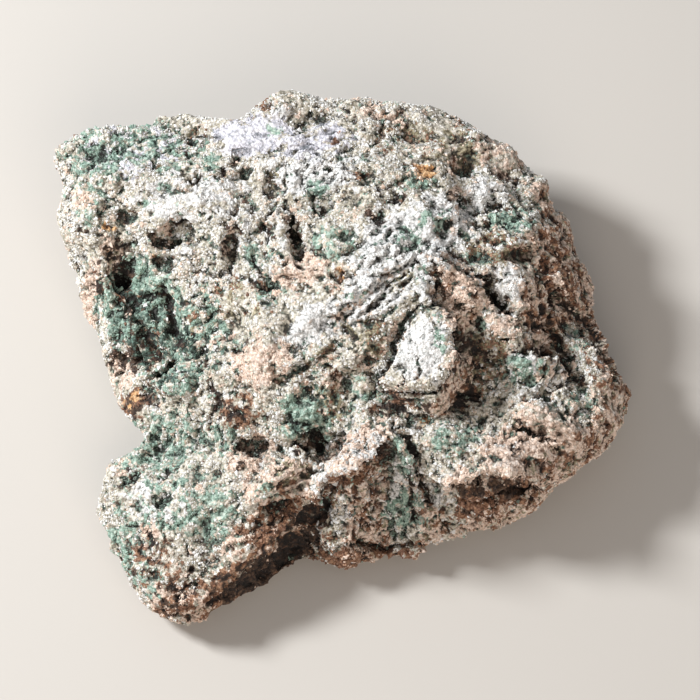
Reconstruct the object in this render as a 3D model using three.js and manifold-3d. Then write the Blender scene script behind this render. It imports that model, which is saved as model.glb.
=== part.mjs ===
// A palm-sized slab of oxidised copper ore: one natural stone, broken on every side.
// Millimetres, +Z up. The origin is the middle of the bounding box's floor, where the stone rests.
// +X points to the right-hand tip and +Y to the thick, straight far edge.
import * as THREE from "three";
import { ConvexGeometry } from "three/addons/geometries/ConvexGeometry.js";
import { mergeVertices } from "three/addons/utils/BufferGeometryUtils.js";
import Module from "manifold-3d";

// ---- Driving dimensions ----------------------------------------------------------------------

const WELD = 1e-4; // vertices closer than this are one
const EDGE_CUTS = 17; // cuts along each edge of the starting icosahedron: 20 * 18 * 18 triangles
const BRINK = -0.06; // the height on the unit ball that becomes the brink of the upper face
const FOOT = -0.8; // the height on the unit ball that becomes the foot of the sides
const SURVEY_REACH = 4.6; // how far each spot height of the upper face is felt
const EVENING_ROUNDS = 8; // rounds of sliding the vertices apart evenly
const WIDEST_DOWN = [0.75, 0.45]; // how far down a side its widest point comes: hollow side, full side
const HOLLOW_SIDE = 3; // a side whose widest point is this low falls in a hollow slope
const FULL_SIDE = 20; // and one whose widest point is this high bulges
const STEEP_START = 0.35; // how much of a hollow side's fall comes right below the brink
const LEAST_SIDE = 1; // the least height of the widest point over the foot
const EDGE_RISE = 3.4; // how far the underside curls up to meet the sides
const EDGE_CURL = 0.8; // where it starts to, as a share of the way from the middle to the foot
const FLOOR_CUT = 0.6; // how much of the underside the ground cuts flat
const FLOOR_RELIEF = [0.9, 9]; // unevenness of the underside: how far either way, how wide
const COARSE_RELIEF = [1.5, 9]; // broken relief over the whole stone: how far either way, how wide
const FINE_RELIEF = [0.9, 4.2];
const PIT_LIFT = 0.6; // how far above the face the middle of a pit is
const KNOB_SINK = 2; // how far below the face the middle of a knob is
const LUMPINESS = 0.45; // how uneven pits, knobs and bites are, as a share of their size

// The plan, anticlockwise from the right-hand tip. Each station is the widest point of the side
// there: x, y and height, then how far the brink above and the foot below stand in from it.
const OUTLINE = [
  [57.5, -5.5, 10, 8, 3],
  [56.5, -2, 10, 9, 3],
  [53, 6, 10, 9, 2],
  [49.5, 10.5, 10, 9, 2],
  [49, 18, 11, 8, 3],
  [46.5, 24.5, 12, 7, 3],
  [42.5, 34, 14, 6, 4],
  [38.5, 38, 16, 5, 4],
  [36.5, 40, 17, 5, 4],
  [35, 43, 19, 4, 4],
  [29, 45.5, 20, 4, 4],
  [26, 47.5, 22, 4, 4],
  [19, 49.5, 23, 4, 5],
  [14, 52, 24, 4, 5],
  [9.5, 53, 24, 4, 5],
  [4.5, 53.5, 24, 4, 5],
  [-1, 53, 24, 4, 5],
  [-6, 53.5, 24, 4, 5],
  [-12.5, 55.5, 24, 4, 5],
  [-16, 53.5, 24, 4, 5],
  [-20, 49.5, 23, 4, 5],
  [-30, 50, 23, 4, 5],
  [-36, 50, 22, 4, 5],
  [-40, 48.5, 22, 4, 5],
  [-47, 49, 23, 4, 6],
  [-54, 47, 23, 3, 6],
  [-59, 42, 23, 2, 6],
  [-57.5, 37, 22, 2, 6],
  [-57.5, 31.5, 20, 3, 6],
  [-57, 24, 18, 3, 6],
  [-54, 20.5, 14, 4, 3],
  [-53.5, 15, 11, 5, 2],
  [-51, 6.5, 9, 8, 2],
  [-48, 0.5, 8, 7, 2],
  [-47.5, -4, 8, 6, 2],
  [-45, -7, 9, 4, 3],
  [-42, -13, 11, 3, 4],
  [-43.5, -16.5, 11, 3, 4],
  [-45.5, -19, 11, 3, 4],
  [-49.5, -24, 10, 2, 4],
  [-49, -32.5, 10, 2, 4],
  [-47, -39, 9, 2, 4],
  [-43.5, -43, 9, 2, 4],
  [-41.5, -47, 8, 2, 4],
  [-38, -50.5, 7, 2, 3],
  [-34.5, -53.5, 6, 2, 3],
  [-31, -54.5, 5, 3, 3],
  [-25.5, -50, 4, 4, 2],
  [-22, -47, 4, 4, 2],
  [-16, -44, 4, 5, 2],
  [-11, -42, 4, 9, 2],
  [-5.5, -38.5, 4, 10, 2],
  [-1.5, -38.5, 4, 11, 2],
  [7, -38, 4, 15, 2],
  [11, -37, 4, 16, 2],
  [17, -38, 4, 17, 2],
  [22, -36, 5, 6, 2],
  [24.5, -33.5, 6, 4, 2],
  [29, -33.5, 7, 4, 2],
  [34, -31.5, 8, 4, 3],
  [40, -26.5, 11, 4, 4],
  [44.5, -24, 13, 3, 5],
  [48, -19.5, 14, 3, 5],
  [53.5, -16, 13, 5, 5],
  [55, -12.5, 12, 6, 4],
];

// Spot heights of the upper face, in rows from the far edge to the near one: x, y, height.
const SURVEY = [
  [-54, 38, 29], [-47, 42, 30], [-36, 43, 30], [-20, 43, 31], [-11, 48, 32], [0, 46, 30],
  [10, 46, 31], [19, 42, 30], [29, 38, 27], [34, 36, 25],
  [-51, 27, 30], [-39, 31, 32], [-27, 35, 33], [-13, 36, 34], [1, 36, 35], [15, 34, 34],
  [25, 31, 30], [37, 29, 25],
  [-54, 20, 26], [-45, 20, 27], [-33, 18, 29], [-21, 20, 32], [-9, 21, 35], [3, 21, 36],
  [15, 21, 36], [27, 21, 33], [33, 20, 29], [41, 21, 24],
  [-50, 10, 23], [-43, 10, 23], [-33, 7, 26], [-23, 8, 31], [-11, 6, 34], [1, 8, 36],
  [13, 7, 37], [23, 6, 34], [33, 8, 29], [43, 10, 20],
  [-45, 0, 20], [-37, -2, 22], [-27, -4, 28], [-15, -6, 32], [-3, -2, 34], [7, -4, 33],
  [17, -7, 32], [27, -2, 26], [35, -2, 26], [45, -1, 19],
  [-42, -8, 15], [-36, -10, 21], [-25, -15, 26], [-15, -15, 29], [-3, -14, 29], [5, -16, 29],
  [15, -17, 28], [27, -12, 24], [37, -13, 28], [47, -11, 20],
  [-39, -17, 14], [-31, -18, 18], [-19, -19, 22], [-9, -22, 23], [1, -24, 26], [10, -20, 29],
  [20, -22, 28], [31, -22, 28], [42, -19, 26], [49, -16, 20],
  [-47, -27, 14], [-39, -26, 17], [-29, -28, 21], [-19, -27, 23], [-9, -28, 22],
  [18, -29, 25], [25, -31, 26], [33, -28, 26], [40, -25, 24], [45, -23, 22],
  [-47, -35, 13], [-39, -36, 17], [-29, -38, 18], [-19, -36, 18], [-14, -38, 16],
  [-43, -42, 12], [-35, -45, 15], [-25, -45, 15], [-36, -51, 11], [-30, -52, 12],
];

// Ridges (a positive rise) and gullies (a negative one) on the upper face: each runs through its
// points, and fades over its spread to either side.
const CREASES = [
  { rise: 2.6, spread: 3, path: [[11, -19], [5, -21.5], [1, -26], [-2, -27.5]] }, // front crest
  { rise: 3.4, spread: 2.8, path: [[-2, -27.5], [-7, -26], [-12, -27], [-17, -31]] },
  { rise: 2, spread: 2.6, path: [[10, -22], [12, -27], [14, -33], [15, -38]] }, // front rib
  { rise: -3, spread: 2.8, path: [[12.5, -22], [15.5, -28], [18, -34], [18, -38]] }, // and gully
  { rise: -2.2, spread: 4, path: [[-7, -30], [-9, -36], [-10, -43]] },
  { rise: 1.6, spread: 2.8, path: [[3, -27], [0, -35], [-1, -40]] },
  { rise: -3.4, spread: 3.2, path: [[-39, -15], [-35, -17], [-30, -18], [-21, -19], [-9, -21]] },
  { rise: -3, spread: 2.8, path: [[-40, 0], [-36, -3], [-31, -3]] }, // clefts of the green hollow
  { rise: -2.8, spread: 2.8, path: [[-45, 18], [-41, 12], [-35, 8], [-33, 0]] },
  { rise: 1.8, spread: 2.4, path: [[-38, -7], [-34, -8], [-29, -8]] },
  { rise: -3.2, spread: 2.8, path: [[24, 1], [25, -7], [22, -14], [13, -17]] }, // moat round the block
  { rise: 2, spread: 2.6, path: [[34, -2], [38, -6], [42, -10]] }, // rim of the grey knoll
  { rise: -2, spread: 2.6, path: [[44, 5], [41, -1], [46, -9]] },
  { rise: 1.8, spread: 2.6, path: [[44, 15], [47, 7], [49, -1], [49, -8]] }, // right-hand rib
  { rise: -2.4, spread: 2.4, path: [[29, -17], [35, -19], [41, -22]] }, // crack above the ledge
  { rise: 2, spread: 2.6, path: [[6, 14], [0, 7], [-8, 1], [-18, -6]] }, // pale spurs
  { rise: 2, spread: 2.6, path: [[20, 14], [14, 6], [7, 0], [1, -5]] },
  { rise: -2, spread: 2.4, path: [[14, 12], [7, 5], [0, -1]] },
  { rise: -2.4, spread: 3, path: [[2, -8], [-3, -13], [-3, -19]] },
  { rise: 2, spread: 2.4, path: [[28, 26], [35, 25], [39, 20], [35, 14], [28, 16]] }, // socket collar
  { rise: -1.8, spread: 2.4, path: [[-34, 46], [-28, 39], [-20, 32], [-16, 25]] },
  { rise: 1.8, spread: 2.6, path: [[-50, 34], [-42, 36], [-34, 27], [-26, 26]] },
];

// Pits bitten out of the upper face: x, y, length, width, depth, and the bearing of the length.
const PITS = [
  [-10, 19, 14, 4.4, 6, 97], // the long slot
  [-23, 17.5, 11, 4.4, 5, 70],
  [-34, 21, 10, 5, 5, -8],
  [-36, 16.5, 7, 4, 4, -20],
  [-44, 25, 6, 4, 3, 10],
  [-15, 29.5, 5, 4, 3.4, 30],
  [-21, 34, 7, 4, 3.4, 40],
  [-45, 16, 8, 5, 3.5, 30],
  [-40, -3, 11, 4.2, 5, 10],
  [-39, -10, 8, 5, 4, -25],
  [-5, -21.5, 9, 6.5, 7, 10], // the dark hole behind the crest
  [-18, -20, 9, 4.6, 4, -10],
  [-4, 25, 6, 5, 4, 60],
  [4, 31, 6, 4.4, 3, 20],
  [19.5, 20, 5.6, 4.6, 3.4, 0],
  [38.5, -11.5, 5, 4.4, 4.4, -30],
  [24, 36, 7, 5, 3, 0],
  [-37, -30, 6, 4, 2.4, 40], // three on the low lobe
  [-27, -41, 5, 3.6, 2.4, -50],
  [-41, -40, 5, 3.4, 2, 60],
];

// Knobs grown on the upper face: x, y, length, width, rise, bearing.
const KNOBS = [
  [33, 20.5, 8.5, 7.5, 2, 20], // green nodule in its socket
  [-33, -7.5, 8, 5, 2, 20],
  [30, 4, 9, 6, 1.8, -40],
];

// The raised block in the middle, a flat-faced chip of the wall rock: the corners of its top.
const BLOCK_TOP = [
  [14, -0.5, 35.5],
  [11.5, -7, 33.5],
  [7, -13, 30.5],
  [12.5, -14, 31.5],
  [17.5, -14.5, 33],
  [20.5, -11, 34.5],
  [22, -7, 35],
  [20, -1.5, 36.5],
  [17.5, 1, 36.5],
];
const BLOCK_ROOT = 12; // how far the block reaches down into the stone
const BLOCK_FLARE = 1.3; // how much wider it is there

// The undercut recess of the near side, below the right-hand ledge. Each bite is an uneven lump:
// centre, half sizes and the bearing of its length.
const RECESS = [
  { centre: [23, -35.5, 16.5], half: [6, 6, 4.6], bearing: 5 },
  { centre: [32, -33, 17.5], half: [8, 5.5, 4.2], bearing: 22 },
];

// Shallow hollows of the underside: x, y, radius, depth.
const HOLLOWS = [
  [-24, 24, 16, 3],
  [20, 26, 14, 2.6],
  [-24, -20, 12, 2.6],
  [32, -8, 12, 2.4],
];

// ---- Noise -----------------------------------------------------------------------------------

// A steady pseudo-random number from 0 to 1 for a point of the integer lattice.
function latticeValue(i, j, k) {
  let h = Math.imul(i, 374761393) ^ Math.imul(j, 668265263) ^ Math.imul(k, 1440662683);
  h = Math.imul(h ^ (h >>> 13), 1274126177);
  return ((h ^ (h >>> 16)) >>> 0) / 4294967295;
}

const smooth = (t) => t * t * (3 - 2 * t);

// Smooth noise from -1 to 1 with features about one unit across.
function noise(x, y, z) {
  const [i, j, k] = [x, y, z].map(Math.floor);
  const [u, v, w] = [x - i, y - j, z - k].map(smooth);
  const along = (b, c) => THREE.MathUtils.lerp(latticeValue(i, b, c), latticeValue(i + 1, b, c), u);
  const across = (c) => THREE.MathUtils.lerp(along(j, c), along(j + 1, c), v);
  return 2 * THREE.MathUtils.lerp(across(k), across(k + 1), w) - 1;
}

// Noise with sharp crests, like a broken surface, with features of the given width.
function crags({ x, y, z }, width) {
  const fold = (scale, shift) =>
    0.65 - 2.6 * Math.abs(noise((x * scale) / width + shift, (y * scale) / width, (z * scale) / width));
  return 0.7 * fold(1, 0) + 0.3 * fold(2.1, 17);
}

// ---- Plan and upper face ---------------------------------------------------------------------

const cross = (ax, ay, bx, by) => ax * by - ay * bx;

const stations = OUTLINE.map(([x, y, height, shoulder, undercut]) => ({
  x,
  y,
  bearing: Math.atan2(y, x),
  values: [height, shoulder, undercut],
})).sort((a, b) => a.bearing - b.bearing);

// The side of the stone on a bearing from the middle: its reach, and the stations' values there.
function sideAt(bearing) {
  const found = stations.findIndex((s) => s.bearing > bearing);
  const next = stations[found < 0 ? 0 : found];
  const last = stations[(found > 0 ? found : stations.length) - 1];
  const [ux, uy] = [Math.cos(bearing), Math.sin(bearing)];
  const [dx, dy] = [next.x - last.x, next.y - last.y];
  const reach = cross(last.x, last.y, dx, dy) / cross(ux, uy, dx, dy);
  const share = Math.hypot(reach * ux - last.x, reach * uy - last.y) / Math.hypot(dx, dy);
  const [height, shoulder, undercut] = last.values.map((v, i) =>
    THREE.MathUtils.lerp(v, next.values[i], share),
  );
  return { reach, height, shoulder, undercut };
}

function distanceToPath(x, y, path) {
  let least = Infinity;
  for (let i = 1; i < path.length; i++) {
    const [ax, ay] = path[i - 1];
    const [dx, dy] = [path[i][0] - ax, path[i][1] - ay];
    const along = THREE.MathUtils.clamp(((x - ax) * dx + (y - ay) * dy) / (dx * dx + dy * dy), 0, 1);
    least = Math.min(least, Math.hypot(x - ax - along * dx, y - ay - along * dy));
  }
  return least;
}

// How far the ridges and gullies lift the surface at a point of the plan.
function creaseRise(x, y) {
  const rises = CREASES.map(
    ({ rise, spread, path }) => rise * Math.exp(-((distanceToPath(x, y, path) / spread) ** 2)),
  );
  return rises.reduce((sum, rise) => sum + rise, 0);
}

// Height of the upper face before it is roughened.
function upperFace(x, y) {
  let [total, weights] = [0, 0];
  for (const [sx, sy, height] of SURVEY) {
    const weight = Math.exp(-((x - sx) ** 2 + (y - sy) ** 2) / (2 * SURVEY_REACH ** 2));
    total += weight * height;
    weights += weight;
  }
  return total / weights + creaseRise(x, y);
}

// Height of the underside, where share is 0 in the middle and 1 at the foot of the sides.
// Most of it lies on the ground, so the stone stands steady.
function underside(x, y, share) {
  const [most, width] = FLOOR_RELIEF;
  let height = EDGE_RISE * THREE.MathUtils.smoothstep(share, EDGE_CURL, 1) - FLOOR_CUT;
  height += most * noise(x / width, y / width, 0) * smooth(share);
  for (const [hx, hy, radius, depth] of HOLLOWS)
    height += depth * Math.exp(-(((x - hx) ** 2 + (y - hy) ** 2) / (0.5 * radius ** 2)));
  return Math.max(0, height);
}

// ---- The stone's body ------------------------------------------------------------------------

// A ball with even triangles and one vertex at each corner.
function ballOf(cuts) {
  const ball = new THREE.IcosahedronGeometry(1, cuts);
  ball.deleteAttribute("normal");
  ball.deleteAttribute("uv");
  return mergeVertices(ball, WELD);
}

// Moves each vertex of a geometry to where the function puts it.
function moveVertices(geometry, moved) {
  const places = geometry.getAttribute("position");
  const place = new THREE.Vector3();
  for (let i = 0; i < places.count; i++) {
    const to = moved(place.fromBufferAttribute(places, i), i);
    places.setXYZ(i, to.x, to.y, to.z);
  }
  return geometry;
}

// Takes a point of the unit ball to its place on the stone: the top of the ball becomes the upper
// face, the band under its brink the sides, and the cap below their foot the underside.
function placeOnStone(ball) {
  const bearing = Math.atan2(ball.y, ball.x);
  const side = sideAt(bearing);
  const brink = side.reach - side.shoulder;
  const foot = side.reach - side.undercut;
  const heightOn = (face, radius) =>
    face(radius * Math.cos(bearing), radius * Math.sin(bearing), radius / foot);
  const at = (radius, height) =>
    new THREE.Vector3(radius * Math.cos(bearing), radius * Math.sin(bearing), height);
  if (ball.z >= BRINK) {
    const radius = brink * Math.sqrt((1 - ball.z) / (1 - BRINK));
    return at(radius, heightOn(upperFace, radius));
  }
  if (ball.z <= FOOT) {
    const radius = foot * Math.sqrt((1 + ball.z) / (1 + FOOT));
    return at(radius, heightOn(underside, radius));
  }
  const top = heightOn(upperFace, brink);
  const bottom = heightOn(underside, foot);
  const widest = Math.max(side.height, bottom + LEAST_SIDE);
  const fullness = THREE.MathUtils.smoothstep(side.height, HOLLOW_SIDE, FULL_SIDE);
  const widestShare = THREE.MathUtils.lerp(...WIDEST_DOWN, fullness);
  const share = (BRINK - ball.z) / (BRINK - FOOT);
  if (share < widestShare) {
    const part = share / widestShare;
    const bulging = Math.sin((part * Math.PI) / 2);
    const outward = THREE.MathUtils.lerp(part, bulging, fullness);
    const hollow = THREE.MathUtils.lerp(part, Math.sqrt(part), STEEP_START);
    const downward = THREE.MathUtils.lerp(hollow, part ** 1.3, fullness);
    return at(brink + side.shoulder * outward, THREE.MathUtils.lerp(top, widest, downward));
  }
  const part = (share - widestShare) / (1 - widestShare);
  const radius = foot + side.undercut * Math.cos((part * Math.PI) / 2);
  return at(radius, THREE.MathUtils.lerp(widest, bottom, part));
}

// For each vertex, the vertices it shares an edge with.
function neighboursOf(geometry) {
  const near = Array.from({ length: geometry.getAttribute("position").count }, () => new Set());
  const index = geometry.index.array;
  for (let i = 0; i < index.length; i += 3)
    for (const [a, b] of [[0, 1], [1, 2], [2, 0]]) {
      near[index[i + a]].add(index[i + b]);
      near[index[i + b]].add(index[i + a]);
    }
  return near.map((set) => [...set]);
}

// One round of evening out: each vertex above the ground slides along the surface towards the
// middle of its neighbours.
function slideToEven(body, near) {
  body.computeVertexNormals();
  const places = body.getAttribute("position");
  const normals = body.getAttribute("normal");
  const [move, normal, other] = [0, 1, 2].map(() => new THREE.Vector3());
  return moveVertices(body, (v, i) => {
    if (v.z <= 0) return v;
    move.set(0, 0, 0);
    for (const n of near[i]) move.add(other.fromBufferAttribute(places, n));
    move.divideScalar(near[i].length).sub(v);
    normal.fromBufferAttribute(normals, i);
    return v.add(move.addScaledVector(normal, -move.dot(normal)).multiplyScalar(0.7));
  });
}

// The whole stone before block, knobs and pits. Its vertices are evened out, those of the upper
// face set back to its height, and then the stone is roughened along its own normals, with what
// rests on the ground left flat.
function stoneBody() {
  const body = ballOf(EDGE_CUTS);
  const near = neighboursOf(body);
  const heights = Array.from(body.getAttribute("position").array).filter((_, i) => i % 3 === 2);
  const onTop = heights.map((z) => z > BRINK);
  moveVertices(body, placeOnStone);
  for (let round = 0; round < EVENING_ROUNDS; round++) slideToEven(body, near);
  moveVertices(body, (v, i) => (onTop[i] ? v.setZ(upperFace(v.x, v.y)) : v));
  body.computeVertexNormals();
  const normals = body.getAttribute("normal");
  const normal = new THREE.Vector3();
  return moveVertices(body, (v, i) => {
    if (v.z <= 0) return v;
    let relief = onTop[i] ? 0 : creaseRise(v.x, v.y);
    for (const [most, width] of [COARSE_RELIEF, FINE_RELIEF]) {
      relief += most * crags(v, width);
    }
    v.addScaledVector(normal.fromBufferAttribute(normals, i), relief);
    return v.setZ(Math.max(v.z, 0));
  });
}

// ---- Solids ----------------------------------------------------------------------------------

const wasm = await Module();
wasm.setup();

// A geometry as a solid that can be joined and cut.
function solidOf(geometry) {
  const bare = geometry.clone();
  bare.deleteAttribute("normal");
  bare.deleteAttribute("uv");
  const welded = mergeVertices(bare, WELD);
  return new wasm.Manifold(
    new wasm.Mesh({
      numProp: 3,
      vertProperties: welded.getAttribute("position").array,
      triVerts: new Uint32Array(welded.index.array),
    }),
  );
}

function geometryOf(solid) {
  const mesh = solid.getMesh();
  const geometry = new THREE.BufferGeometry();
  geometry.setAttribute("position", new THREE.BufferAttribute(mesh.vertProperties, 3));
  geometry.setIndex(new THREE.BufferAttribute(mesh.triVerts, 1));
  return geometry;
}

// An uneven lump of the given half sizes, turned about Z and set at a point.
function lump([x, y, z], half, bearing, cuts) {
  const ball = moveVertices(ballOf(cuts), (v) =>
    v.multiplyScalar(1 + LUMPINESS * noise(2 * v.x + x, 2 * v.y + y, 2 * v.z)),
  );
  ball.scale(...half);
  ball.rotateZ(THREE.MathUtils.degToRad(bearing));
  ball.translate(x, y, z);
  return solidOf(ball);
}

function pitSolids() {
  return PITS.map(([x, y, length, width, depth, bearing]) =>
    lump([x, y, upperFace(x, y) + PIT_LIFT], [length / 2, width / 2, depth], bearing, 1),
  );
}

function knobSolids() {
  return KNOBS.map(([x, y, length, width, rise, bearing]) =>
    lump([x, y, upperFace(x, y) - KNOB_SINK], [length / 2, width / 2, rise + KNOB_SINK], bearing, 2),
  );
}

function blockSolid() {
  const top = BLOCK_TOP.map((corner) => new THREE.Vector3(...corner));
  const middle = new THREE.Vector3();
  for (const corner of top) middle.addScaledVector(corner, 1 / top.length);
  const root = top.map((corner) => {
    const low = corner.clone().sub(middle).multiplyScalar(BLOCK_FLARE).add(middle);
    return low.setZ(corner.z - BLOCK_ROOT);
  });
  return solidOf(new ConvexGeometry([...top, ...root]));
}

// ---- Assembly --------------------------------------------------------------------------------

const bites = RECESS.map(({ centre, half, bearing }) => lump(centre, half, bearing, 2));
let stone = solidOf(stoneBody());
for (const added of [blockSolid(), ...knobSolids()]) stone = stone.add(added);
for (const removed of [...pitSolids(), ...bites]) stone = stone.subtract(removed);

const geometry = geometryOf(stone);
geometry.computeBoundingBox();
const { min, max } = geometry.boundingBox;
geometry.translate(-(min.x + max.x) / 2, -(min.y + max.y) / 2, -min.z);

const oreStone = new THREE.MeshStandardMaterial({
  color: 0xb9b3a2,
  roughness: 0.92,
  metalness: 0,
  flatShading: true,
});

const slab = new THREE.Mesh(geometry, oreStone);
slab.name = "ore_slab";

const part = new THREE.Group();
part.add(slab);

export default part;
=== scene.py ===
"""A hand specimen of weathered copper ore: one slab of rock under a granular mineral crust.

The rock is cut from the frame's solid, refined and given its pits, cracks and ridges.
Four crusts of grains are then grown on it, each mostly of one mineral.
All lengths in the tables are millimetres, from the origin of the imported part.
"""
import math

import bmesh
import bpy
import numpy as np
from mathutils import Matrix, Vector, noise


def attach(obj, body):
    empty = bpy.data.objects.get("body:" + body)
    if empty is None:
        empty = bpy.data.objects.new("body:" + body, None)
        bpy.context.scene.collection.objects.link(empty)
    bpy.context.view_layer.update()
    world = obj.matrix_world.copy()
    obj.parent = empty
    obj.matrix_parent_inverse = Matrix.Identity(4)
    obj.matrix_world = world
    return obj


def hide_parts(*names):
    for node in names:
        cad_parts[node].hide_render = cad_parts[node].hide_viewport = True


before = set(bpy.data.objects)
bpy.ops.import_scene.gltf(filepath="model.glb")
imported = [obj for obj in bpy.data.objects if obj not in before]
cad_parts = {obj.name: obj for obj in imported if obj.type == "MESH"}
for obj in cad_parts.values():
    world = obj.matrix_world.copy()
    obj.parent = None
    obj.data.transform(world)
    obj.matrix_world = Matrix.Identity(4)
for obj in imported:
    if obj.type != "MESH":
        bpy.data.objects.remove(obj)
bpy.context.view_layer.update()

bl_info = {
    "name": "Copper ore specimen",
    "version": (1, 0, 0),
    "blender": (4, 5, 0),
    "location": "View3D > Sidebar > Ore",
    "description": "Builds a slab of copper ore with its mineral crusts",
    "category": "Add Mesh",
}

MM = 0.001
ROCK_NODE = "ore_slab"
SEED = 29

# The crusted face is laid out on a plane that leans this far from level, towards -Y.
# Places on it are (across, up): across is X, and up runs along the leaning plane.
FACE_TILT = math.radians(22)
FACE_NORMAL = np.array((0.0, -math.sin(FACE_TILT), math.cos(FACE_TILT)))

# Hollows of the face: across, up, half-length, half-width, turn in degrees, depth, lining.
HOLLOWS = (
    (-32.4, 32.2, 2.6, 0.7, -12, 1.8, "umber"),
    (-36.5, 28.4, 2.0, 1.0, 20, 0.6, "buff"),
    (-22.8, 28.2, 4.0, 0.8, 70, 2.0, "umber"),
    (-10.2, 31.0, 5.0, 0.9, -78, 3.0, "umber"),
    (-15.6, 31.4, 2.4, 0.8, -75, 2.0, "umber"),
    (-5.7, 36.4, 1.9, 1.6, 40, 2.4, "malachite"),
    (-21.4, 44.0, 1.7, 1.3, 25, 2.2, "umber"),
    (-24.0, 42.2, 1.8, 1.0, 45, 1.2, "olive"),
    (-29.0, 40.8, 1.4, 1.2, 0, 1.9, "olive"),
    (-14.8, 41.2, 1.2, 1.8, 10, 1.6, "olive"),
    (-37.0, 43.2, 1.8, 1.0, -15, 1.2, "olive"),
    (-30.6, 45.6, 1.0, 1.2, 0, 1.3, "umber"),
    (-34.0, 47.0, 0.9, 1.5, 20, 1.2, "malachite"),
    (-43.6, 34.6, 1.7, 1.0, 10, 1.4, "olive"),
    (-48.4, 34.2, 1.6, 1.2, 25, 1.3, "olive"),
    (-52.0, 30.8, 1.6, 0.7, 0, 1.6, "umber"),
    (-46.4, 25.8, 1.0, 0.5, 35, 0.4, "umber"),
    (-43.2, 27.6, 1.2, 0.8, 0, 0.5, "umber"),
    (-43.0, 20.6, 0.9, 1.8, 10, 1.3, "umber"),
    (-41.6, 15.6, 1.0, 2.8, -15, 1.8, "umber"),
    (-37.8, 17.8, 1.5, 1.0, 30, 1.8, "umber"),
    (-41.0, 11.6, 1.4, 1.3, 0, 2.5, "umber"),
    (-36.6, 12.0, 0.8, 1.5, 10, 1.5, "umber"),
    (-46.0, 14.6, 1.5, 0.8, -35, 1.3, "malachite"),
    (-49.0, 17.5, 1.1, 0.9, 0, 1.3, "malachite"),
    (-44.8, 9.2, 1.8, 0.9, -40, 1.6, "umber"),
    (-15.0, 19.2, 3.4, 1.1, -8, 2.2, "umber"),
    (-0.9, 21.2, 1.3, 1.6, 0, 2.0, "rust"),
    (0.0, 14.0, 1.0, 0.8, 0, 1.3, "umber"),
    (-19.0, 14.0, 1.1, 0.8, 0, 1.3, "rust"),
    (-24.5, 19.5, 1.5, 1.1, 0, 1.1, "olive"),
    (-26.8, 13.4, 1.2, 0.9, 20, 1.2, "malachite"),
    (-14.8, 55.9, 2.2, 1.5, 10, 1.7, "rust"),
    (-1.7, 49.2, 1.5, 0.9, 40, 1.2, "rust"),
    (-29.4, 50.4, 1.6, 1.1, 0, 1.0, "olive"),
    (4.3, 42.2, 2.2, 1.8, 30, 1.5, "rust"),
    (24.9, 45.4, 3.0, 2.2, -10, 1.3, "olive"),
    (33.4, 40.6, 1.9, 0.8, 15, 2.2, "umber"),
    (10.6, 37.3, 1.6, 1.4, 0, 1.5, "umber"),
    (7.4, 33.0, 1.8, 1.3, 30, 1.2, "umber"),
    (23.0, 37.4, 2.3, 0.8, -65, 1.7, "umber"),
    (20.0, 32.4, 2.1, 1.9, 0, 1.9, "malachite"),
    (32.9, 32.4, 4.0, 3.2, 0, 1.8, "malachite"),
    (29.0, 31.8, 1.0, 1.9, 10, 1.6, "umber"),
    (34.3, 25.8, 3.3, 1.5, 5, 1.5, "olive"),
    (27.0, 25.4, 4.0, 1.4, 0, 1.4, "malachite"),
    (0.6, 29.8, 3.0, 1.2, 15, 1.5, "malachite"),
    (-4.2, 26.0, 2.6, 1.0, -50, 1.8, "umber"),
    (18.2, 17.6, 1.3, 1.7, 0, 1.7, "umber"),
    (26.7, 12.3, 1.5, 2.0, 0, 1.8, "malachite"),
    (22.4, 9.2, 1.2, 2.6, 10, 2.0, "umber"),
    (41.0, 34.2, 2.6, 3.6, 15, 1.0, "rust"),
    (38.7, 13.8, 2.4, 3.0, -30, 1.6, "umber"),
    (-41.0, 5.0, 4.0, 1.0, 0, 3.0, "umber"),
    (-38.8, -0.2, 2.7, 0.9, 5, 2.0, "umber"),
    (-27.4, 4.6, 1.5, 1.8, 0, 1.6, "umber"),
    (-21.4, -5.6, 3.0, 1.2, -15, 1.6, "umber"),
    (-20.6, -0.8, 1.4, 0.8, 20, 1.0, "olive"),
    (-5.7, -10.4, 3.0, 2.6, 15, 6.0, "umber"),
    (-8.8, -12.2, 2.0, 1.1, -10, 2.2, "umber"),
    (-19.8, -16.0, 1.1, 0.6, 0, 1.2, "umber"),
    (-34.4, -17.2, 2.5, 0.6, 20, 1.3, "umber"),
    (-42.0, -18.4, 2.8, 1.1, 30, 1.5, "umber"),
    (-45.5, -13.8, 1.0, 0.9, 0, 1.0, "umber"),
    (-38.0, -30.4, 1.8, 2.4, 20, 1.4, "umber"),
    (-41.0, -27.6, 1.2, 0.9, 0, 1.2, "umber"),
    (-30.5, -32.2, 0.6, 1.8, -10, 1.6, "umber"),
    (-29.7, -35.8, 1.4, 1.3, 0, 1.8, "umber"),
    (-37.3, -37.6, 1.7, 1.6, 30, 1.2, "umber"),
    (-31.3, -41.2, 1.5, 0.6, -15, 1.2, "umber"),
    (7.8, -4.0, 3.0, 1.8, 0, 1.5, "umber"),
    (24.4, -2.2, 3.4, 2.0, 0, 1.5, "umber"),
    (33.4, -12.0, 1.4, 2.2, 10, 1.5, "umber"),
    (41.4, -0.6, 1.5, 1.2, 0, 2.2, "umber"),
    (46.8, 1.0, 1.9, 1.4, -20, 1.5, "umber"),
    (-31.5, 8.6, 1.3, 1.6, 0, 1.4, "umber"),
    (-33.8, 3.8, 0.9, 1.5, 15, 1.2, "umber"),
    (1.6, 10.5, 1.0, 3.6, 20, 1.2, "olive"),
    (6.0, 9.2, 2.0, 4.4, 25, 1.1, "olive"),
)

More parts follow.
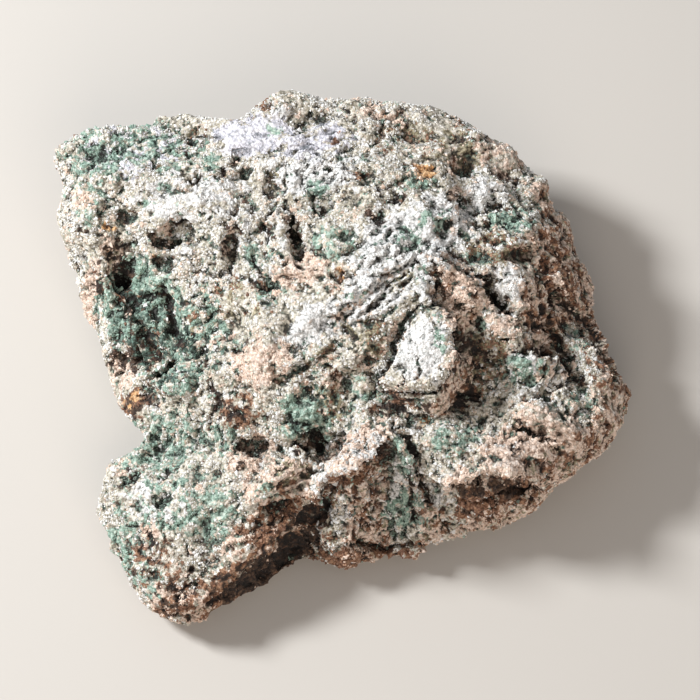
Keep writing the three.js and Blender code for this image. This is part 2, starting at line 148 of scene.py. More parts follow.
# Lumps that stand up from the face: across, up, half-length, half-width, turn, height, mineral.
LUMPS = (
    (-31.4, 27.0, 2.2, 1.4, 0, 0.9, "pale"),
    (-15.6, 17.0, 2.6, 1.5, 0, 0.8, "pale"),
    (-35.6, 30.6, 1.4, 0.8, 0, 0.7, "buff"),
    (-2.5, 19.0, 0.9, 0.8, 0, 0.7, "buff"),
    (-7.0, -5.0, 3.0, 2.0, 20, 1.3, "malachite"),
    (-3.0, -11.0, 1.0, 1.6, 0, 0.9, "malachite"),
    (32.6, 20.4, 4.2, 3.4, -30, 2.0, "pale"),
    (35.8, 20.0, 1.7, 1.5, 0, 1.0, "pale"),
    (41.8, 20.8, 1.8, 0.9, -10, 1.1, "buff"),
    (39.4, 39.6, 2.2, 1.8, 0, 1.0, "buff"),
    (29.6, 39.0, 4.6, 3.0, 15, 1.5, "pale"),
    (36.8, 3.2, 4.2, 2.4, -15, 1.2, "pale"),
    (50.2, -5.2, 1.0, 0.7, 0, 1.0, "buff"),
    (39.0, -6.0, 4.6, 2.6, -25, 1.8, "buff"),
    (43.4, -8.8, 3.0, 2.2, -30, 1.0, "buff"),
    (32.0, -15.8, 5.0, 2.0, 5, 1.1, "buff"),
    (-38.5, 2.4, 3.2, 1.3, 10, 1.0, "malachite"),
    (-29.2, 8.4, 1.6, 1.8, 0, 0.8, "malachite"),
    (-24.0, 8.8, 2.4, 2.0, 30, 0.7, "buff"),
    (-12.0, 55.0, 1.6, 1.8, 0, 1.0, "pale"),
    (-10.8, -17.4, 8.4, 2.4, 21, 1.7, "buff"),
)

# Cracks and grooves, as paths on the face: half-width, depth, lining, then the path.
CRACKS = (
    (0.6, 2.2, "umber", ((34.0, -7.4), (37.5, -9.0), (41.0, -11.6))),
    (0.8, 2.2, "umber", ((9.6, -7.4), (13.6, -12.0), (15.4, -18.4), (17.2, -23.0))),
    (0.7, 1.5, "umber", ((13.0, -18.0), (13.8, -22.4), (14.0, -26.0))),
    (0.9, 1.8, "malachite", ((-18.6, 25.6), (-16.6, 22.6), (-13.8, 20.0))),
    (0.8, 1.3, "olive", ((-13.2, -19.6), (-8.2, -17.6), (-3.4, -15.6))),
    (0.6, 1.3, "umber", ((7.0, -0.7), (12.0, -1.2), (18.0, -0.9), (21.0, 2.0))),
    (0.7, 1.4, "rust", ((1.6, -31.4), (6.0, -32.0), (11.0, -31.2), (17.0, -31.4))),
    (0.6, 1.2, "umber", ((-50.5, 23.6), (-46.4, 19.0), (-44.2, 13.4))),
    (0.6, 1.1, "umber", ((-26.0, 1.0), (-24.4, -3.0), (-26.4, -8.0))),
    (0.7, 1.8, "umber", ((17.6, 23.6), (19.1, 20.0), (18.2, 17.2), (20.4, 14.4))),
    (0.8, 1.8, "umber", ((28.2, 21.6), (30.6, 16.4), (34.3, 12.2))),
    (0.7, 1.4, "olive", ((12.0, 21.6), (8.6, 18.8), (5.6, 15.2))),
    (0.8, 1.5, "umber", ((43.0, 17.6), (40.4, 12.0), (45.0, 5.6))),
    (0.6, 1.1, "umber", ((51.6, 16.0), (53.0, 8.0), (54.4, 0.0))),
    (0.4, 0.9, "olive", ((12.0, 3.0), (11.2, 0.4))),
    (0.4, 0.7, "buff", ((14.6, 4.6), (15.0, 1.4))),
    (0.5, 1.0, "rust", ((20.0, -27.4), (26.0, -28.4), (31.0, -27.0))),
    (2.2, 2.9, "umber", ((-45.0, 20.0), (-42.2, 15.4), (-39.8, 10.4), (-37.8, 5.8))),
    (0.8, 1.4, "umber", ((-36.4, 19.4), (-34.0, 15.0), (-33.6, 11.0))),
)

# Narrow ridges, as paths on the face: half-width, height, mineral, then the path.
RIDGES = (
    (2.6, 2.2, "buff", ((20.0, 23.9), (25.3, 19.0), (29.3, 13.7), (32.9, 10.6))),
    (1.8, 1.5, "pale", ((16.8, 24.2), (15.3, 20.6), (16.2, 17.0))),
    (1.2, 1.3, "pale", ((15.0, 23.0), (10.0, 19.6), (6.0, 16.8), (2.0, 12.6))),
    (1.0, 1.1, "pale", ((12.6, 25.0), (7.4, 22.0), (3.0, 18.6), (-2.0, 15.0))),
    (0.9, 1.0, "pale", ((14.0, 19.0), (10.4, 16.4), (5.4, 13.4))),
    (2.2, 1.5, "buff", ((34.3, -5.0), (39.6, -6.9), (45.0, -9.5))),
    (1.2, 1.5, "pale", ((34.0, 4.4), (36.0, 5.6), (39.6, 4.5), (42.7, 1.4))),
    (1.6, 1.5, "buff", ((20.6, -21.4), (24.4, -17.9), (29.4, -16.4), (33.8, -17.0), (39.0, -17.0))),
    (1.7, 1.9, "buff", ((-6.8, -21.2), (-1.9, -17.2), (1.7, -15.0), (5.7, -13.0), (8.6, -8.8))),
    (1.5, 1.4, "buff", ((-17.6, -21.6), (-11.8, -16.2), (-7.4, -14.6))),
    (1.4, 1.3, "malachite", ((10.2, -10.2), (12.4, -15.1), (14.6, -22.3), (15.5, -28.0))),
    (1.2, 1.0, "pale", ((4.0, -20.0), (5.6, -25.0), (6.0, -29.4))),
    (1.0, 0.8, "olive", ((-1.4, -21.4), (-1.0, -26.0), (-2.4, -30.4))),
    (1.2, 1.0, "pale", ((19.0, -22.0), (17.6, -26.4), (18.4, -30.6))),
    (1.3, 1.0, "buff", ((41.2, 20.8), (49.6, 13.0), (57.4, 1.0))),
    (1.0, 0.8, "buff", ((38.6, 27.4), (44.0, 20.6), (48.6, 16.0))),
    (1.2, 1.0, "rust", ((1.0, -33.2), (8.0, -34.0), (14.0, -33.0))),
    (1.3, 1.1, "pale", ((-12.6, 35.0), (-12.9, 31.6), (-12.0, 27.4))),
    (1.2, 1.0, "pale", ((-19.6, 32.0), (-20.0, 28.4), (-18.6, 25.6))),
)

# Ledges: drop, how far it takes the ground to rise again, lining, and the path of the lip.
# The ground drops on the right-hand side of somebody who walks along the path.
LEDGES = (
    # The umber lining under the front lip is painted shadow.
    (
        4.6, 5.5, "umber",
        ((19.0, -20.2), (22.4, -18.6), (26.9, -17.4), (31.9, -17.0), (36.9, -18.0), (40.4, -21.0)),
    ),
    (
        2.4, 8.0, "rust",
        ((-16.5, -23.2), (-7.0, -21.6), (-2.6, -18.4), (0.8, -16.2), (6.0, -13.2), (8.6, -8.6)),
    ),
    (1.4, 3.6, "olive", ((-18.6, -20.2), (-12.0, -15.2), (-7.4, -14.6), (-3.6, -15.0))),
    (1.8, 8.0, "rust", ((-28.5, -43.6), (-21.6, -38.4), (-15.0, -32.4), (-11.0, -26.4))),
    (1.4, 1.6, "umber", ((1.0, -31.4), (6.0, -32.0), (11.0, -31.2), (17.0, -31.4))),
    (1.8, 4.0, "rust", ((-43.0, -1.6), (-39.0, -0.6), (-35.6, -1.2))),
    (2.6, 2.2, "umber", ((-46.0, 6.0), (-41.0, 6.2), (-36.4, 5.2))),
    (2.0, 4.4, "umber", ((31.0, 12.0), (29.6, 16.6), (24.6, 21.4), (18.2, 25.4))),
    (1.7, 4.4, "umber", ((41.2, 20.8), (49.6, 13.0), (55.4, 3.0))),
    (2.4, 4.4, "umber", ((44.0, -0.6), (42.4, 3.4), (39.0, 5.2), (35.6, 5.9), (33.4, 4.6))),
    (1.5, 5.0, "olive", ((-15.0, 1.0), (-8.5, 5.0), (-3.2, 7.4), (0.0, 10.6))),
    (1.3, 3.4, "umber", ((26.4, 34.0), (29.0, 37.0), (34.0, 36.6), (37.4, 34.0))),
)

# Broad recesses, given as hollows are: two under the front lip, and one below the plank-shaped lump. The
# umber lining of the two under the lip is painted shadow.
RECESSES = (
    (29.5, -20.4, 9.5, 2.6, 6, 3.6, "umber"),
    (23.6, -20.4, 3.4, 2.4, 30, 1.6, "umber"),
    (-10.0, -26.0, 8.0, 3.4, 28, 1.0, "rust"),
)

# Stains and crusts of the face: mineral, across, up, half-length, half-width, turn, strength.
PATCHES = (
    ("malachite", -45.0, 48.0, 14.0, 8.0, 12, 0.75),
    ("malachite", -50.0, 38.0, 5.0, 9.0, 0, 0.5),
    ("malachite", -34.0, 45.5, 9.0, 5.0, 10, 0.5),
    ("lavender", -50.0, 44.6, 5.0, 2.6, 0, 0.55),
    ("umber", -50.5, 48.0, 2.6, 1.2, 0, 0.5),
    ("malachite", -34.4, 47.2, 2.2, 1.8, -30, 0.9),
    ("malachite", -26.0, 44.6, 2.4, 2.2, 0, 0.9),
    ("malachite", -13.6, 51.6, 2.2, 1.4, -30, 0.7),
    ("lavender", -18.0, 50.0, 9.0, 4.4, 10, 1.0),
    ("lavender", -6.0, 48.4, 9.0, 4.0, 8, 0.85),
    ("pale", -30.0, 37.0, 14.0, 6.0, 0, 0.62),
    ("pale", -6.0, 42.0, 12.0, 5.0, 0, 0.9),
    ("pale", 14.0, 29.0, 16.0, 8.0, 25, 1.0),
    ("pale", 26.0, 37.0, 6.0, 4.0, 20, 0.9),
    ("pale", -6.0, 12.0, 9.0, 4.0, 30, 1.0),
    ("pale", 4.0, 17.0, 9.0, 6.0, 40, 0.9),
    ("pale", 15.0, 7.5, 5.6, 7.6, -15, 1.0),
    ("buff", -52.5, 37.5, 2.4, 2.4, 0, 0.8),
    ("buff", -8.0, 22.5, 7.0, 4.5, 20, 0.85),
    ("buff", -16.0, 5.0, 8.0, 5.0, 20, 0.8),
    ("buff", 1.0, 14.0, 5.0, 7.0, -20, 0.5),
    ("buff", 23.0, 17.0, 6.0, 8.0, 30, 0.8),
    ("buff", 38.0, -13.0, 13.0, 7.0, 12, 0.95),
    ("buff", 24.0, -18.0, 6.0, 3.0, 10, 0.8),
    ("buff", 2.0, -11.5, 9.0, 3.0, 40, 0.85),
    ("buff", 8.4, 54.4, 5.0, 2.6, -10, 0.8),
    ("rust", 9.4, 54.4, 2.2, 1.4, 0, 0.6),
    ("buff", 30.0, 47.0, 8.0, 5.0, -30, 0.5),
    ("buff", -52.0, 14.0, 2.6, 15.0, -14, 0.9),
    ("buff", -45.0, 2.0, 3.0, 6.0, -20, 0.7),
    ("buff", -18.0, -14.0, 6.0, 5.0, 30, 0.75),
    ("buff", -19.0, -30.0, 10.0, 3.0, 35, 0.5),
    ("buff", -34.0, -42.0, 6.0, 4.0, 30, 0.7),
    ("buff", -43.0, -16.0, 4.0, 2.0, 30, 0.6),
    ("buff", -38.0, -28.0, 3.0, 3.0, 0, 0.7),
    ("orange", 16.4, 42.6, 2.2, 1.8, 0, 1.0),
    ("orange", -46.6, 31.4, 1.2, 0.9, 0, 0.8),
    ("orange", -1.0, 21.8, 1.0, 1.4, 0, 0.8),
    ("orange", 16.4, -7.0, 0.8, 0.6, 0, 0.8),
    ("orange", -37.0, 26.6, 1.8, 1.4, 0, 0.4),
    ("malachite", 15.0, 40.2, 4.0, 1.8, -20, 0.8),
    ("malachite", -41.0, 17.0, 10.0, 11.0, -40, 0.95),
    ("malachite", -30.0, 12.0, 10.0, 10.0, -20, 0.65),
    ("malachite", -33.0, 3.0, 9.0, 8.0, -30, 0.7),
    ("malachite", -37.0, -12.0, 12.0, 8.0, 0, 0.7),
    ("malachite", -32.0, -23.0, 15.0, 9.0, -20, 0.62),
    ("malachite", -43.0, -31.0, 5.0, 9.0, 15, 0.75),
    ("malachite", -24.0, -27.0, 5.0, 4.0, 40, 0.85),
    ("malachite", -37.0, -39.0, 8.0, 4.0, -40, 0.6),
    ("malachite", -25.0, -10.0, 6.0, 5.0, 0, 0.6),
    ("malachite", -15.0, -20.0, 4.0, 3.0, 30, 0.6),
    ("malachite", -8.0, -6.0, 6.0, 6.0, 0, 1.0),
    ("malachite", -5.0, 0.0, 3.0, 5.0, 20, 0.6),
    ("malachite", 3.0, -2.0, 4.0, 6.0, 0, 0.5),
    ("malachite", -18.6, 26.4, 1.8, 2.6, -40, 1.0),
    ("malachite", -14.0, 17.6, 4.0, 2.6, 0, 0.7),
    ("malachite", -15.0, 28.0, 5.0, 6.0, 0, 0.4),
    ("malachite", -5.0, 39.0, 2.4, 2.4, 0, 0.9),
    ("malachite", -3.0, 28.0, 5.0, 4.0, -40, 0.6),
    ("malachite", 13.0, 28.6, 5.0, 2.4, 0, 0.7),
    ("malachite", 18.6, 32.6, 4.4, 3.6, 0, 0.8),
    ("malachite", 33.0, 32.4, 4.8, 4.0, 0, 0.9),
    ("malachite", 14.6, 22.0, 4.0, 2.0, 50, 0.5),
    ("malachite", 2.6, 18.0, 2.0, 1.4, 30, 0.6),
    ("malachite", 18.6, 8.6, 1.6, 3.0, 20, 0.75),
    ("malachite", 17.6, 14.0, 2.4, 1.2, 0, 0.8),
    ("malachite", 36.4, 3.0, 5.0, 3.6, -20, 0.8),
    ("malachite", 47.0, -3.0, 4.0, 3.0, -40, 0.6),
    ("malachite", 22.0, -10.0, 7.0, 4.6, 0, 0.65),
    ("malachite", 12.4, -15.0, 2.6, 5.0, 20, 0.85),
    ("malachite", 11.0, -25.0, 4.6, 5.0, 0, 0.8),
    ("malachite", 2.0, -20.0, 4.0, 4.0, 0, 0.4),
    ("malachite", 33.0, 20.0, 3.0, 3.0, 0, 0.4),
    ("malachite", 47.0, 9.0, 3.0, 5.0, 0, 0.4),
    ("olive", 24.9, 45.4, 5.0, 3.6, -10, 0.9),
    ("olive", 30.0, 27.0, 8.0, 3.4, 0, 0.8),
    ("olive", -3.2, -3.0, 4.0, 5.4, -10, 0.9),
    ("olive", -20.0, 17.0, 9.0, 6.0, 20, 0.5),
    ("olive", 6.0, 9.0, 2.6, 6.0, 20, 0.8),
    ("olive", 22.0, 52.0, 8.0, 4.0, -20, 0.45),
    ("olive", 28.0, 5.0, 6.0, 7.0, 0, 0.8),
    ("olive", -7.0, -17.4, 5.0, 1.6, 25, 0.4),
    ("olive", 0.0, -24.0, 9.0, 6.0, 0, 0.4),
    ("rust", -41.5, -4.0, 4.0, 3.4, 20, 0.9),
    ("rust", -20.0, -5.0, 5.0, 4.0, 0, 0.7),
    ("rust", -13.0, -28.0, 9.0, 6.0, 25, 0.85),
    ("rust", -16.0, -37.0, 17.0, 5.4, 32, 1.0),
    ("rust", 4.0, -34.0, 14.0, 2.6, 5, 1.0),
    ("rust", 30.0, -22.0, 11.0, 5.0, 15, 0.9),
    ("rust", 50.0, -10.0, 6.0, 5.0, 50, 0.6),
    ("rust", 44.0, 24.0, 7.0, 12.0, 10, 0.7),
    ("rust", 40.0, 13.0, 6.0, 5.0, 0, 0.7),
    ("rust", 52.0, 6.0, 5.0, 12.0, 15, 0.6),
    ("rust", 20.0, 21.0, 2.4, 3.0, 0, 0.5),
    ("rust", 24.0, -2.0, 6.0, 3.0, 0, 0.6),
    ("rust", 10.0, -3.6, 6.0, 3.0, 0, 0.5),
    ("umber", -45.0, 25.0, 5.0, 3.6, 20, 0.6),
    ("umber", -41.0, 14.0, 4.0, 6.0, 0, 0.55),
    ("umber", 7.5, 35.0, 5.0, 4.0, 0, 0.5),
    ("umber", 0.0, 40.0, 4.0, 3.0, 0, 0.3),
    ("umber", -37.5, -30.0, 2.4, 3.0, 0, 0.6),
    ("umber", -37.5, -37.5, 2.4, 2.0, 0, 0.6),
    ("umber", -42.0, -18.0, 3.4, 1.8, 30, 0.6),
    ("tenorite", -40.0, 12.0, 8.0, 9.0, -30, 0.65),
    # Painted shade: the dark umber on the front wall, over its own rust, and in the hollow below the
    # crest.
    ("umber", -15.0, -36.6, 16.0, 4.6, 32, 1.0),
    ("umber", -10.0, -28.0, 10.0, 5.0, 30, 0.7),
    # Painted shadow: the dark umber under the front lip.
    ("umber", 29.0, -19.8, 9.5, 2.2, 6, 1.0),
    # Painted shadow: dark umber on the ground right of the fallen block.
    ("umber", 25.0, 4.0, 5.0, 6.0, 0, 0.4),
    ("pale", -36.0, -22.0, 8.0, 7.0, 0, 0.5),
    ("pale", 6.0, -25.0, 11.0, 6.0, 0, 0.6),
    ("pale", 38.0, 2.0, 5.0, 3.4, -20, 0.6),
    ("pale", 33.0, 19.6, 5.0, 4.0, -20, 0.8),
    ("pale", 2.0, -13.4, 10.0, 3.0, 35, 1.0),
    ("pale", 32.0, -13.0, 7.0, 3.0, 10, 0.6),
    ("umber", -39.0, -34.0, 7.0, 8.0, 0, 0.45),
    ("rust", -36.0, -36.0, 8.0, 7.0, 0, 0.5),
    ("orange", -42.0, -3.0, 3.0, 1.6, 20, 0.4),
    ("olive", 14.0, 49.0, 10.0, 4.0, 0, 0.6),
    ("olive", -38.0, 14.0, 12.0, 9.0, -20, 0.7),
    ("tenorite", -37.0, 12.0, 6.0, 12.0, 25, 0.65),
    ("rust", -41.0, -4.0, 3.6, 4.0, 0, 0.8),
    ("umber", -33.0, -41.0, 6.0, 5.0, 30, 0.55),
    ("rust", -32.0, -42.0, 7.0, 4.0, 30, 0.75),
    ("olive", 20.0, 48.0, 10.0, 5.0, -15, 0.55),
    ("umber", 26.0, 47.0, 6.0, 4.0, -15, 0.3),
    ("umber", -41.5, -4.5, 3.6, 3.4, 20, 0.7),
    ("umber", -43.0, 5.0, 5.0, 2.4, 0, 0.9),
    ("lavender", -42.0, 47.0, 13.0, 8.0, 0, 0.4),
    ("pale", 17.0, -22.0, 7.0, 5.0, 0, 0.4),
    ("tenorite", -42.0, 16.0, 3.0, 5.0, -20, 1.0),
    ("tenorite", -40.0, 8.0, 3.0, 4.0, 10, 1.0),
    ("umber", -44.0, 22.0, 3.0, 3.0, 0, 0.9),
    ("tenorite", -31.0, 8.0, 3.0, 4.0, 0, 0.9),
    ("tenorite", -36.0, 1.0, 3.4, 1.6, 0, 0.9),
    # Painted shadow: dark umber along the foot of the fallen block.
    ("umber", 12.0, -4.4, 9.0, 3.0, 0, 0.6),
    ("buff", -10.8, -17.4, 8.0, 3.0, 21, 0.95),
    ("pale", 10.0, -20.0, 9.0, 6.0, 0, 0.5),
    ("malachite", -37.0, 38.0, 8.0, 5.0, 0, 0.4),
    ("tenorite", 33.0, 32.4, 3.8, 3.0, 0, 0.7),
    ("tenorite", 20.0, 32.4, 2.6, 2.2, 0, 0.7),
    ("tenorite", -5.0, 38.6, 2.0, 2.0, 0, 0.7),
    ("tenorite", -26.0, 43.6, 2.0, 1.6, 0, 0.6),
    ("tenorite", -17.6, 24.0, 1.6, 2.8, -40, 0.7),
    ("tenorite", -7.4, -8.0, 4.0, 4.0, 0, 0.7),
    ("tenorite", -5.0, -1.0, 3.4, 5.0, 10, 0.5),
    ("tenorite", 12.8, -13.0, 2.0, 4.0, 20, 0.6),
    ("tenorite", -47.0, 45.0, 8.0, 4.0, 0, 0.45),
    ("tenorite", -26.0, 6.0, 4.0, 4.0, 0, 0.5),
    ("tenorite", 12.6, -25.0, 2.4, 4.0, 0, 0.4),
    # Painted shadow: more dark umber right of the fallen block.
    ("umber", 26.5, 7.0, 4.0, 7.0, 0, 0.6),
)

# Colours of each mineral, from its darkest grains to its lightest, and where on that range they lie.
PALETTE = {
    "rock": ("34362B", "AFA998", "ECE8DF"),
    "pale": ("5E6462", "DADBDA", "FBFBFB"),
    "lavender": ("9298A0", "D0D0DA", "F3F3F8"),
    "buff": ("7E6352", "D8C1B0", "F5E8DE"),
    "olive": ("302B1E", "7A7259", "C2BAA0"),
    "malachite": ("16271F", "83A092", "CADACF"),
    "tenorite": ("080E0C", "24372F", "6C897E"),
    "rust": ("2A160D", "78523B", "B99478"),
    "umber": ("100A07", "33231A", "66503F"),
    "orange": ("7C4F2C", "C28F5C", "E8CBA2"),
    # The dark layer over seams and granule edges: painted shade, with some dirt.
    "painted_shade_and_dirt": ("14100D", "231A15", "3A2E26"),
}
PALETTE_PLACES = (0.06, 0.38, 0.85)

# The least of each mineral that is sprinkled everywhere.
SPRINKLED = {"malachite": 0.24, "buff": 0.16, "rust": 0.12, "umber": 0.1, "olive": 0.16}

# How much each mineral favours the seams (above 0) or the crests (below 0). Dark minerals in the seams
# and pale ones on the crests add painted shade to the seams and painted highlight to the crests.
LEAN = {
    "pale": -0.5, "buff": -0.2, "malachite": 0.7, "olive": 0.5,
    "tenorite": 0.9, "umber": 0.5, "rust": 0.3,
}
SEAM_MIDDLE = 0.3

# Sides that face this way, away from the key light, are tinted as painted shade. The table below says
# how much of each warm brown or buff tint they keep at least.
AWAY_FROM_KEY_LIGHT = np.array((0.86, -0.5, 0.0))
SHADED_SIDE_TINTS = {"rust": 0.5, "olive": 0.45, "buff": 0.85}

# The stains of the back and the underside: how much there usually is, and how much that varies.
HIDDEN_SIDES = {"rust": (0.6, 0.5), "malachite": (0.1, 0.9), "buff": (0.5, 0.8), "olive": (0.3, 0.7)}

MINERALS = ("pale", "lavender", "buff", "olive", "malachite", "tenorite", "rust", "umber", "orange")

# Stretches where the crust is drawn out in fibres: across, up, reach, grain direction in degrees.
FIBRES = (
    (9.0, 20.0, 16.0, 38),
    (-6.0, 44.0, 11.0, 24),
    (46.0, 8.0, 16.0, -62),
    (42.0, 28.0, 10.0, -70),
    (6.0, -26.0, 14.0, 100),
    (30.0, -24.0, 12.0, 65),
    (-16.0, -32.0, 14.0, 40),
    (-3.0, -3.0, 6.0, 95),
    (24.0, 17.0, 9.0, -46),
)

# Smooth places of the face: across, up, half-length, half-width, turn, and how smooth.
CALM = (
    (-18.0, 50.0, 8.0, 3.6, 10, 1.0),
    (-6.0, 48.4, 7.0, 2.6, 8, 1.0),
    (24.9, 45.4, 2.6, 1.8, -10, 1.0),
    (34.3, 25.8, 2.8, 1.3, 5, 1.0),
    (41.0, 34.2, 2.2, 3.2, 15, 1.0),
    (-11.0, 13.0, 11.0, 8.0, 20, 0.6),
    (8.0, 30.0, 18.0, 8.0, 15, 0.5),
    (7.0, 17.0, 13.0, 7.0, 38, 0.65),
    (20.0, 48.0, 10.0, 6.0, -15, 0.6),
    (-32.0, -20.0, 13.0, 8.0, -30, 0.5),
    (-10.8, -17.8, 8.6, 3.0, 21, 1.0),
    (12.0, -22.0, 12.0, 8.0, 0, 0.35),
    (-18.0, -34.0, 14.0, 4.0, 32, 0.7),
    (34.0, -14.0, 11.0, 3.6, 8, 0.75),
    (41.0, -7.5, 7.0, 3.0, -25, 1.0),
    (52.0, 4.0, 4.0, 16.0, 12, 0.6),
    (46.0, 26.0, 5.0, 12.0, 12, 0.5),
    (34.0, 20.0, 6.0, 5.0, 0, 0.4),
    (-30.0, 38.0, 12.0, 4.0, 0, 0.3),
)

# Outline of the fallen block's top, and how far it stands above the crust round it.
BLOCK = (
    (17.7, 15.6), (15.0, 14.8), (12.8, 12.6), (11.8, 9.6), (10.6, 6.0), (9.6, 3.2),
    (6.8, -0.8), (11.0, -1.0), (15.2, -1.3), (18.2, -0.8), (20.2, 1.6), (21.7, 4.4),
    (21.5, 8.0), (20.8, 10.6), (21.2, 12.8), (19.8, 14.6),
)
BLOCK_RISE, BLOCK_EDGE = 2.1, 0.3
BLOCK_CALM = 0.5
BLOCK_MOAT, MOAT_WIDTH = 1.0, 3.0

LEDGE_TAPER = 3.0
LIP_WIDTH = 0.6

# Spacing of the relief, in millimetres.
LUMP_SPACING, CRAG_SPACING, CRUMB_SPACING = 8.0, 5.5, 2.9
WEAR_SPACING = 9.0
FIBRE_WIDTH, FIBRE_LENGTH = 1.3, 5.0

# Spacing of the colours' pattern, in millimetres. The crust's real granules are 0.6 to 1 mm wide.
SMALL_GRANULE, LARGE_GRANULE, FINEST_SPOTS, GRAIN_SPOTS = 0.6, 0.9, 0.9, 0.4
MINERAL_MIX, SANDY_SPACING, HIDDEN_STAIN_SPACING = 1.6, 6.0, 12.0

# How far the edges of what is laid on the face are shaken, and how far apart the shakes are.
RELIEF_SHAKE = (1.3, 2.2)
CALM_SHAKE = (0.6, 3.0)
PIT_SHAKE = (0.5, 1.6)
FIBRE_SHAKE = (1.0, 4.0)
STAIN_SHAKE = (1.6, 4.5)
# The block keeps a cleaner outline: it is shaken by this share of the relief's shake.
BLOCK_SHAKE = 0.5

# Where things on the face start to fade and where they end, as shares of their radius or half-width.
OVAL_FADE = (0.2, 1.2)
CRACK_FADE = (0.3, 1.4)
CALM_FADE = (0.6, 1.3)
FIBRE_FADE = (0.5, 1.0)
STAIN_FADE = (0.45, 1.25)
OVAL_LINING_FADE = (0.6, 1.3)
PATH_LINING_FADE = (0.5, 1.6)
# A ridge slopes evenly to its foot, this many half-widths from its crest.
RIDGE_FOOT = 1.3

# How much of a hollow's stated depth is cut, and how much mineral lines ovals, paths and ledges.
HOLLOW_CUT = 0.75
OVAL_LINING, PATH_LINING, LEDGE_LINING = 0.65, 0.6, 0.7

# Crags: how far and how broadly their cells are bent, and how high and wide the cracks' shoulders are.
CRAG_BEND, CRAG_BEND_WIDTH = 0.25, 0.8
CRAG_SHOULDER, CRACK_GAP = 0.6, 0.4

# How rough the most worn places are, how much rougher others get, and the hidden sides' share of it.
LEAST_ROUGH, MORE_ROUGH, HIDDEN_ROUGH = 0.45, 0.75, 0.5
# How much a calm place loses of its broad lumps and of its finer relief.
CALMED_LUMPS, CALMED_RELIEF = 0.6, 0.8
# How much of the crumbs' height the frilly places lose. It is above 1, so crumbs become pits there.
FRILLINESS = 1.8

# From a mineral's share to its patches: gain, softness, and the share up to which none shows.
PATCH_GAIN, PATCH_SOFTNESS, LEAST_SHARE = 1.5, 0.75, 0.02
# The noise's values from minus this to this are spread over the chances from 0 to 1.
CHANCE_RANGE = 0.55

SMALL_PITS = 140
PITTED_MIDDLE, PITTED_SPREAD = (-12.0, 16.0), (30.0, 24.0)
PIT_LENGTH, PIT_WIDTH, PIT_DEPTH = (0.5, 1.5), (0.4, 0.8), (0.5, 1.2)

FACE_SHOWS_FROM, FACE_SHOWS_FULLY = -0.15, 0.25

# Rounds of evening: of the rebuilt mesh, and of the directions that tell which sides face away from the
# key light and get painted shade.
EVENING_ROUNDS = 8
BROAD_ROUNDS = 25
SHADED_SIDE_FROM, SHADED_SIDE_FULLY = 0.1, 0.6
# Rounds of evening, and how deep below the evened surface a seam's painted shade and dirt start and are
# darkest.
SEAM_SCALES = ((5, 0.03, 0.34), (60, 0.2, 1.7))
DARKEST_SEAM = 0.85

# Chance that grains grow: the least, how much more in sandy spots, and how much less on bare places and
# on the side away from the key light, which is tinted as painted shade.
LEAST_SANDY, MORE_SANDY = 0.05, 0.36
BARE_CALM, BARE_UMBER, BARE_SHADED_SIDE = 0.9, 0.75, 0.7

# The crusts of grains. drawn_by says how strongly each mineral draws them, and pull is the draw
# that a crust has everywhere.
GRAINS = {
    # Chalky white crystals, left by water that dried on the rock: matt, with faces that catch light.
    "pale_crust_grains": {
        "drawn_by": {"pale": 0.8, "lavender": 1.0}, "pull": 0.25, "colours": ("pale", "lavender"),
        "material": "chalky_calcite_crystals", "roughness": (0.75, 0.95), "ior": 1.6,
    },
    # Green crystals, grown out of weathered copper: the clearest colour and the most lustre of the four.
    "malachite_grains": {
        "drawn_by": {"malachite": 1.5, "tenorite": 1.0}, "pull": 0.05,
        "colours": ("malachite", "tenorite"),
        "material": "grown_malachite_crystals", "roughness": (0.6, 0.85), "ior": 1.75,
    },
    # Quartz sand that seeping water stained and glued down: warm and dull.
    "buff_sand_grains": {
        "drawn_by": {"buff": 1.0, "orange": 2.0}, "pull": 0.05, "colours": ("buff", "orange"),
        "material": "stained_quartz_sand", "roughness": (0.7, 0.95), "ior": 1.54,
    },
    # Rusted iron ore, crumbled by the weather: earthy and dark.
    "rust_grains": {
        "drawn_by": {"rust": 0.8, "umber": 0.8, "olive": 0.5}, "pull": 0.05,
        "colours": ("rust", "umber"),
        "material": "crumbled_limonite", "roughness": (0.75, 0.95), "ior": 1.9,
    },
}
# How far chance may outweigh the minerals' pull when a grain's kind is chosen.
CHANCE_OF_ANOTHER = 0.18
GRAIN_RELIEF = 0.04 * MM
# Grain radii, as shares of the middle radius: how they spread, and the smallest and the largest.
RADIUS_LEAN, RADIUS_SPREAD, SMALLEST_RADIUS, LARGEST_RADIUS = -0.05, 0.42, 0.4, 2.4
# A grain's corners and its three sides, as shares of its radius, and how far out its middle lies.
CORNER_REACH, GRAIN_STRETCH, GRAIN_STANDS = (0.7, 1.3), (0.6, 1.3), (-0.6, 0.05)
# No part of a grain is lower than this, in millimetres.
LOWEST_GRAIN = 0.05
# Places tried on each cell's worth of rock, before each cell keeps one grain.
PLACES_TRIED = 6
# The range of the grains' shades, and how much of a seam's painted shade and dirt a grain in it takes
# on.
GRAIN_SHADES, GRAIN_SHADE_AND_DIRT = (0.2, 0.62), 0.8

# How softly a mineral's granules give way to what lies under them.
CHANCE_SOFTNESS = 0.5
# How far and how broadly granules are bent out of shape, as shares of their width.
GRANULE_BEND, GRANULE_BEND_WIDTH = 0.8, 0.9
# How much of the rock's and of the grains' shade comes from spots finer than a granule.
ROCK_SPOT_SHARE, GRAIN_SPOT_SHARE = 0.6, 0.25
# What a seam adds to the shade and to the dark layer, both painted shade with some dirt, and what a
# granule's edge adds to the height.
SEAM_SHADE, SEAM_SHADE_AND_DIRT, EDGE_HEIGHT = -0.5, 0.55, -0.35
ROCK_ROUGHNESS, ROCK_IOR = (0.75, 0.95), 1.55

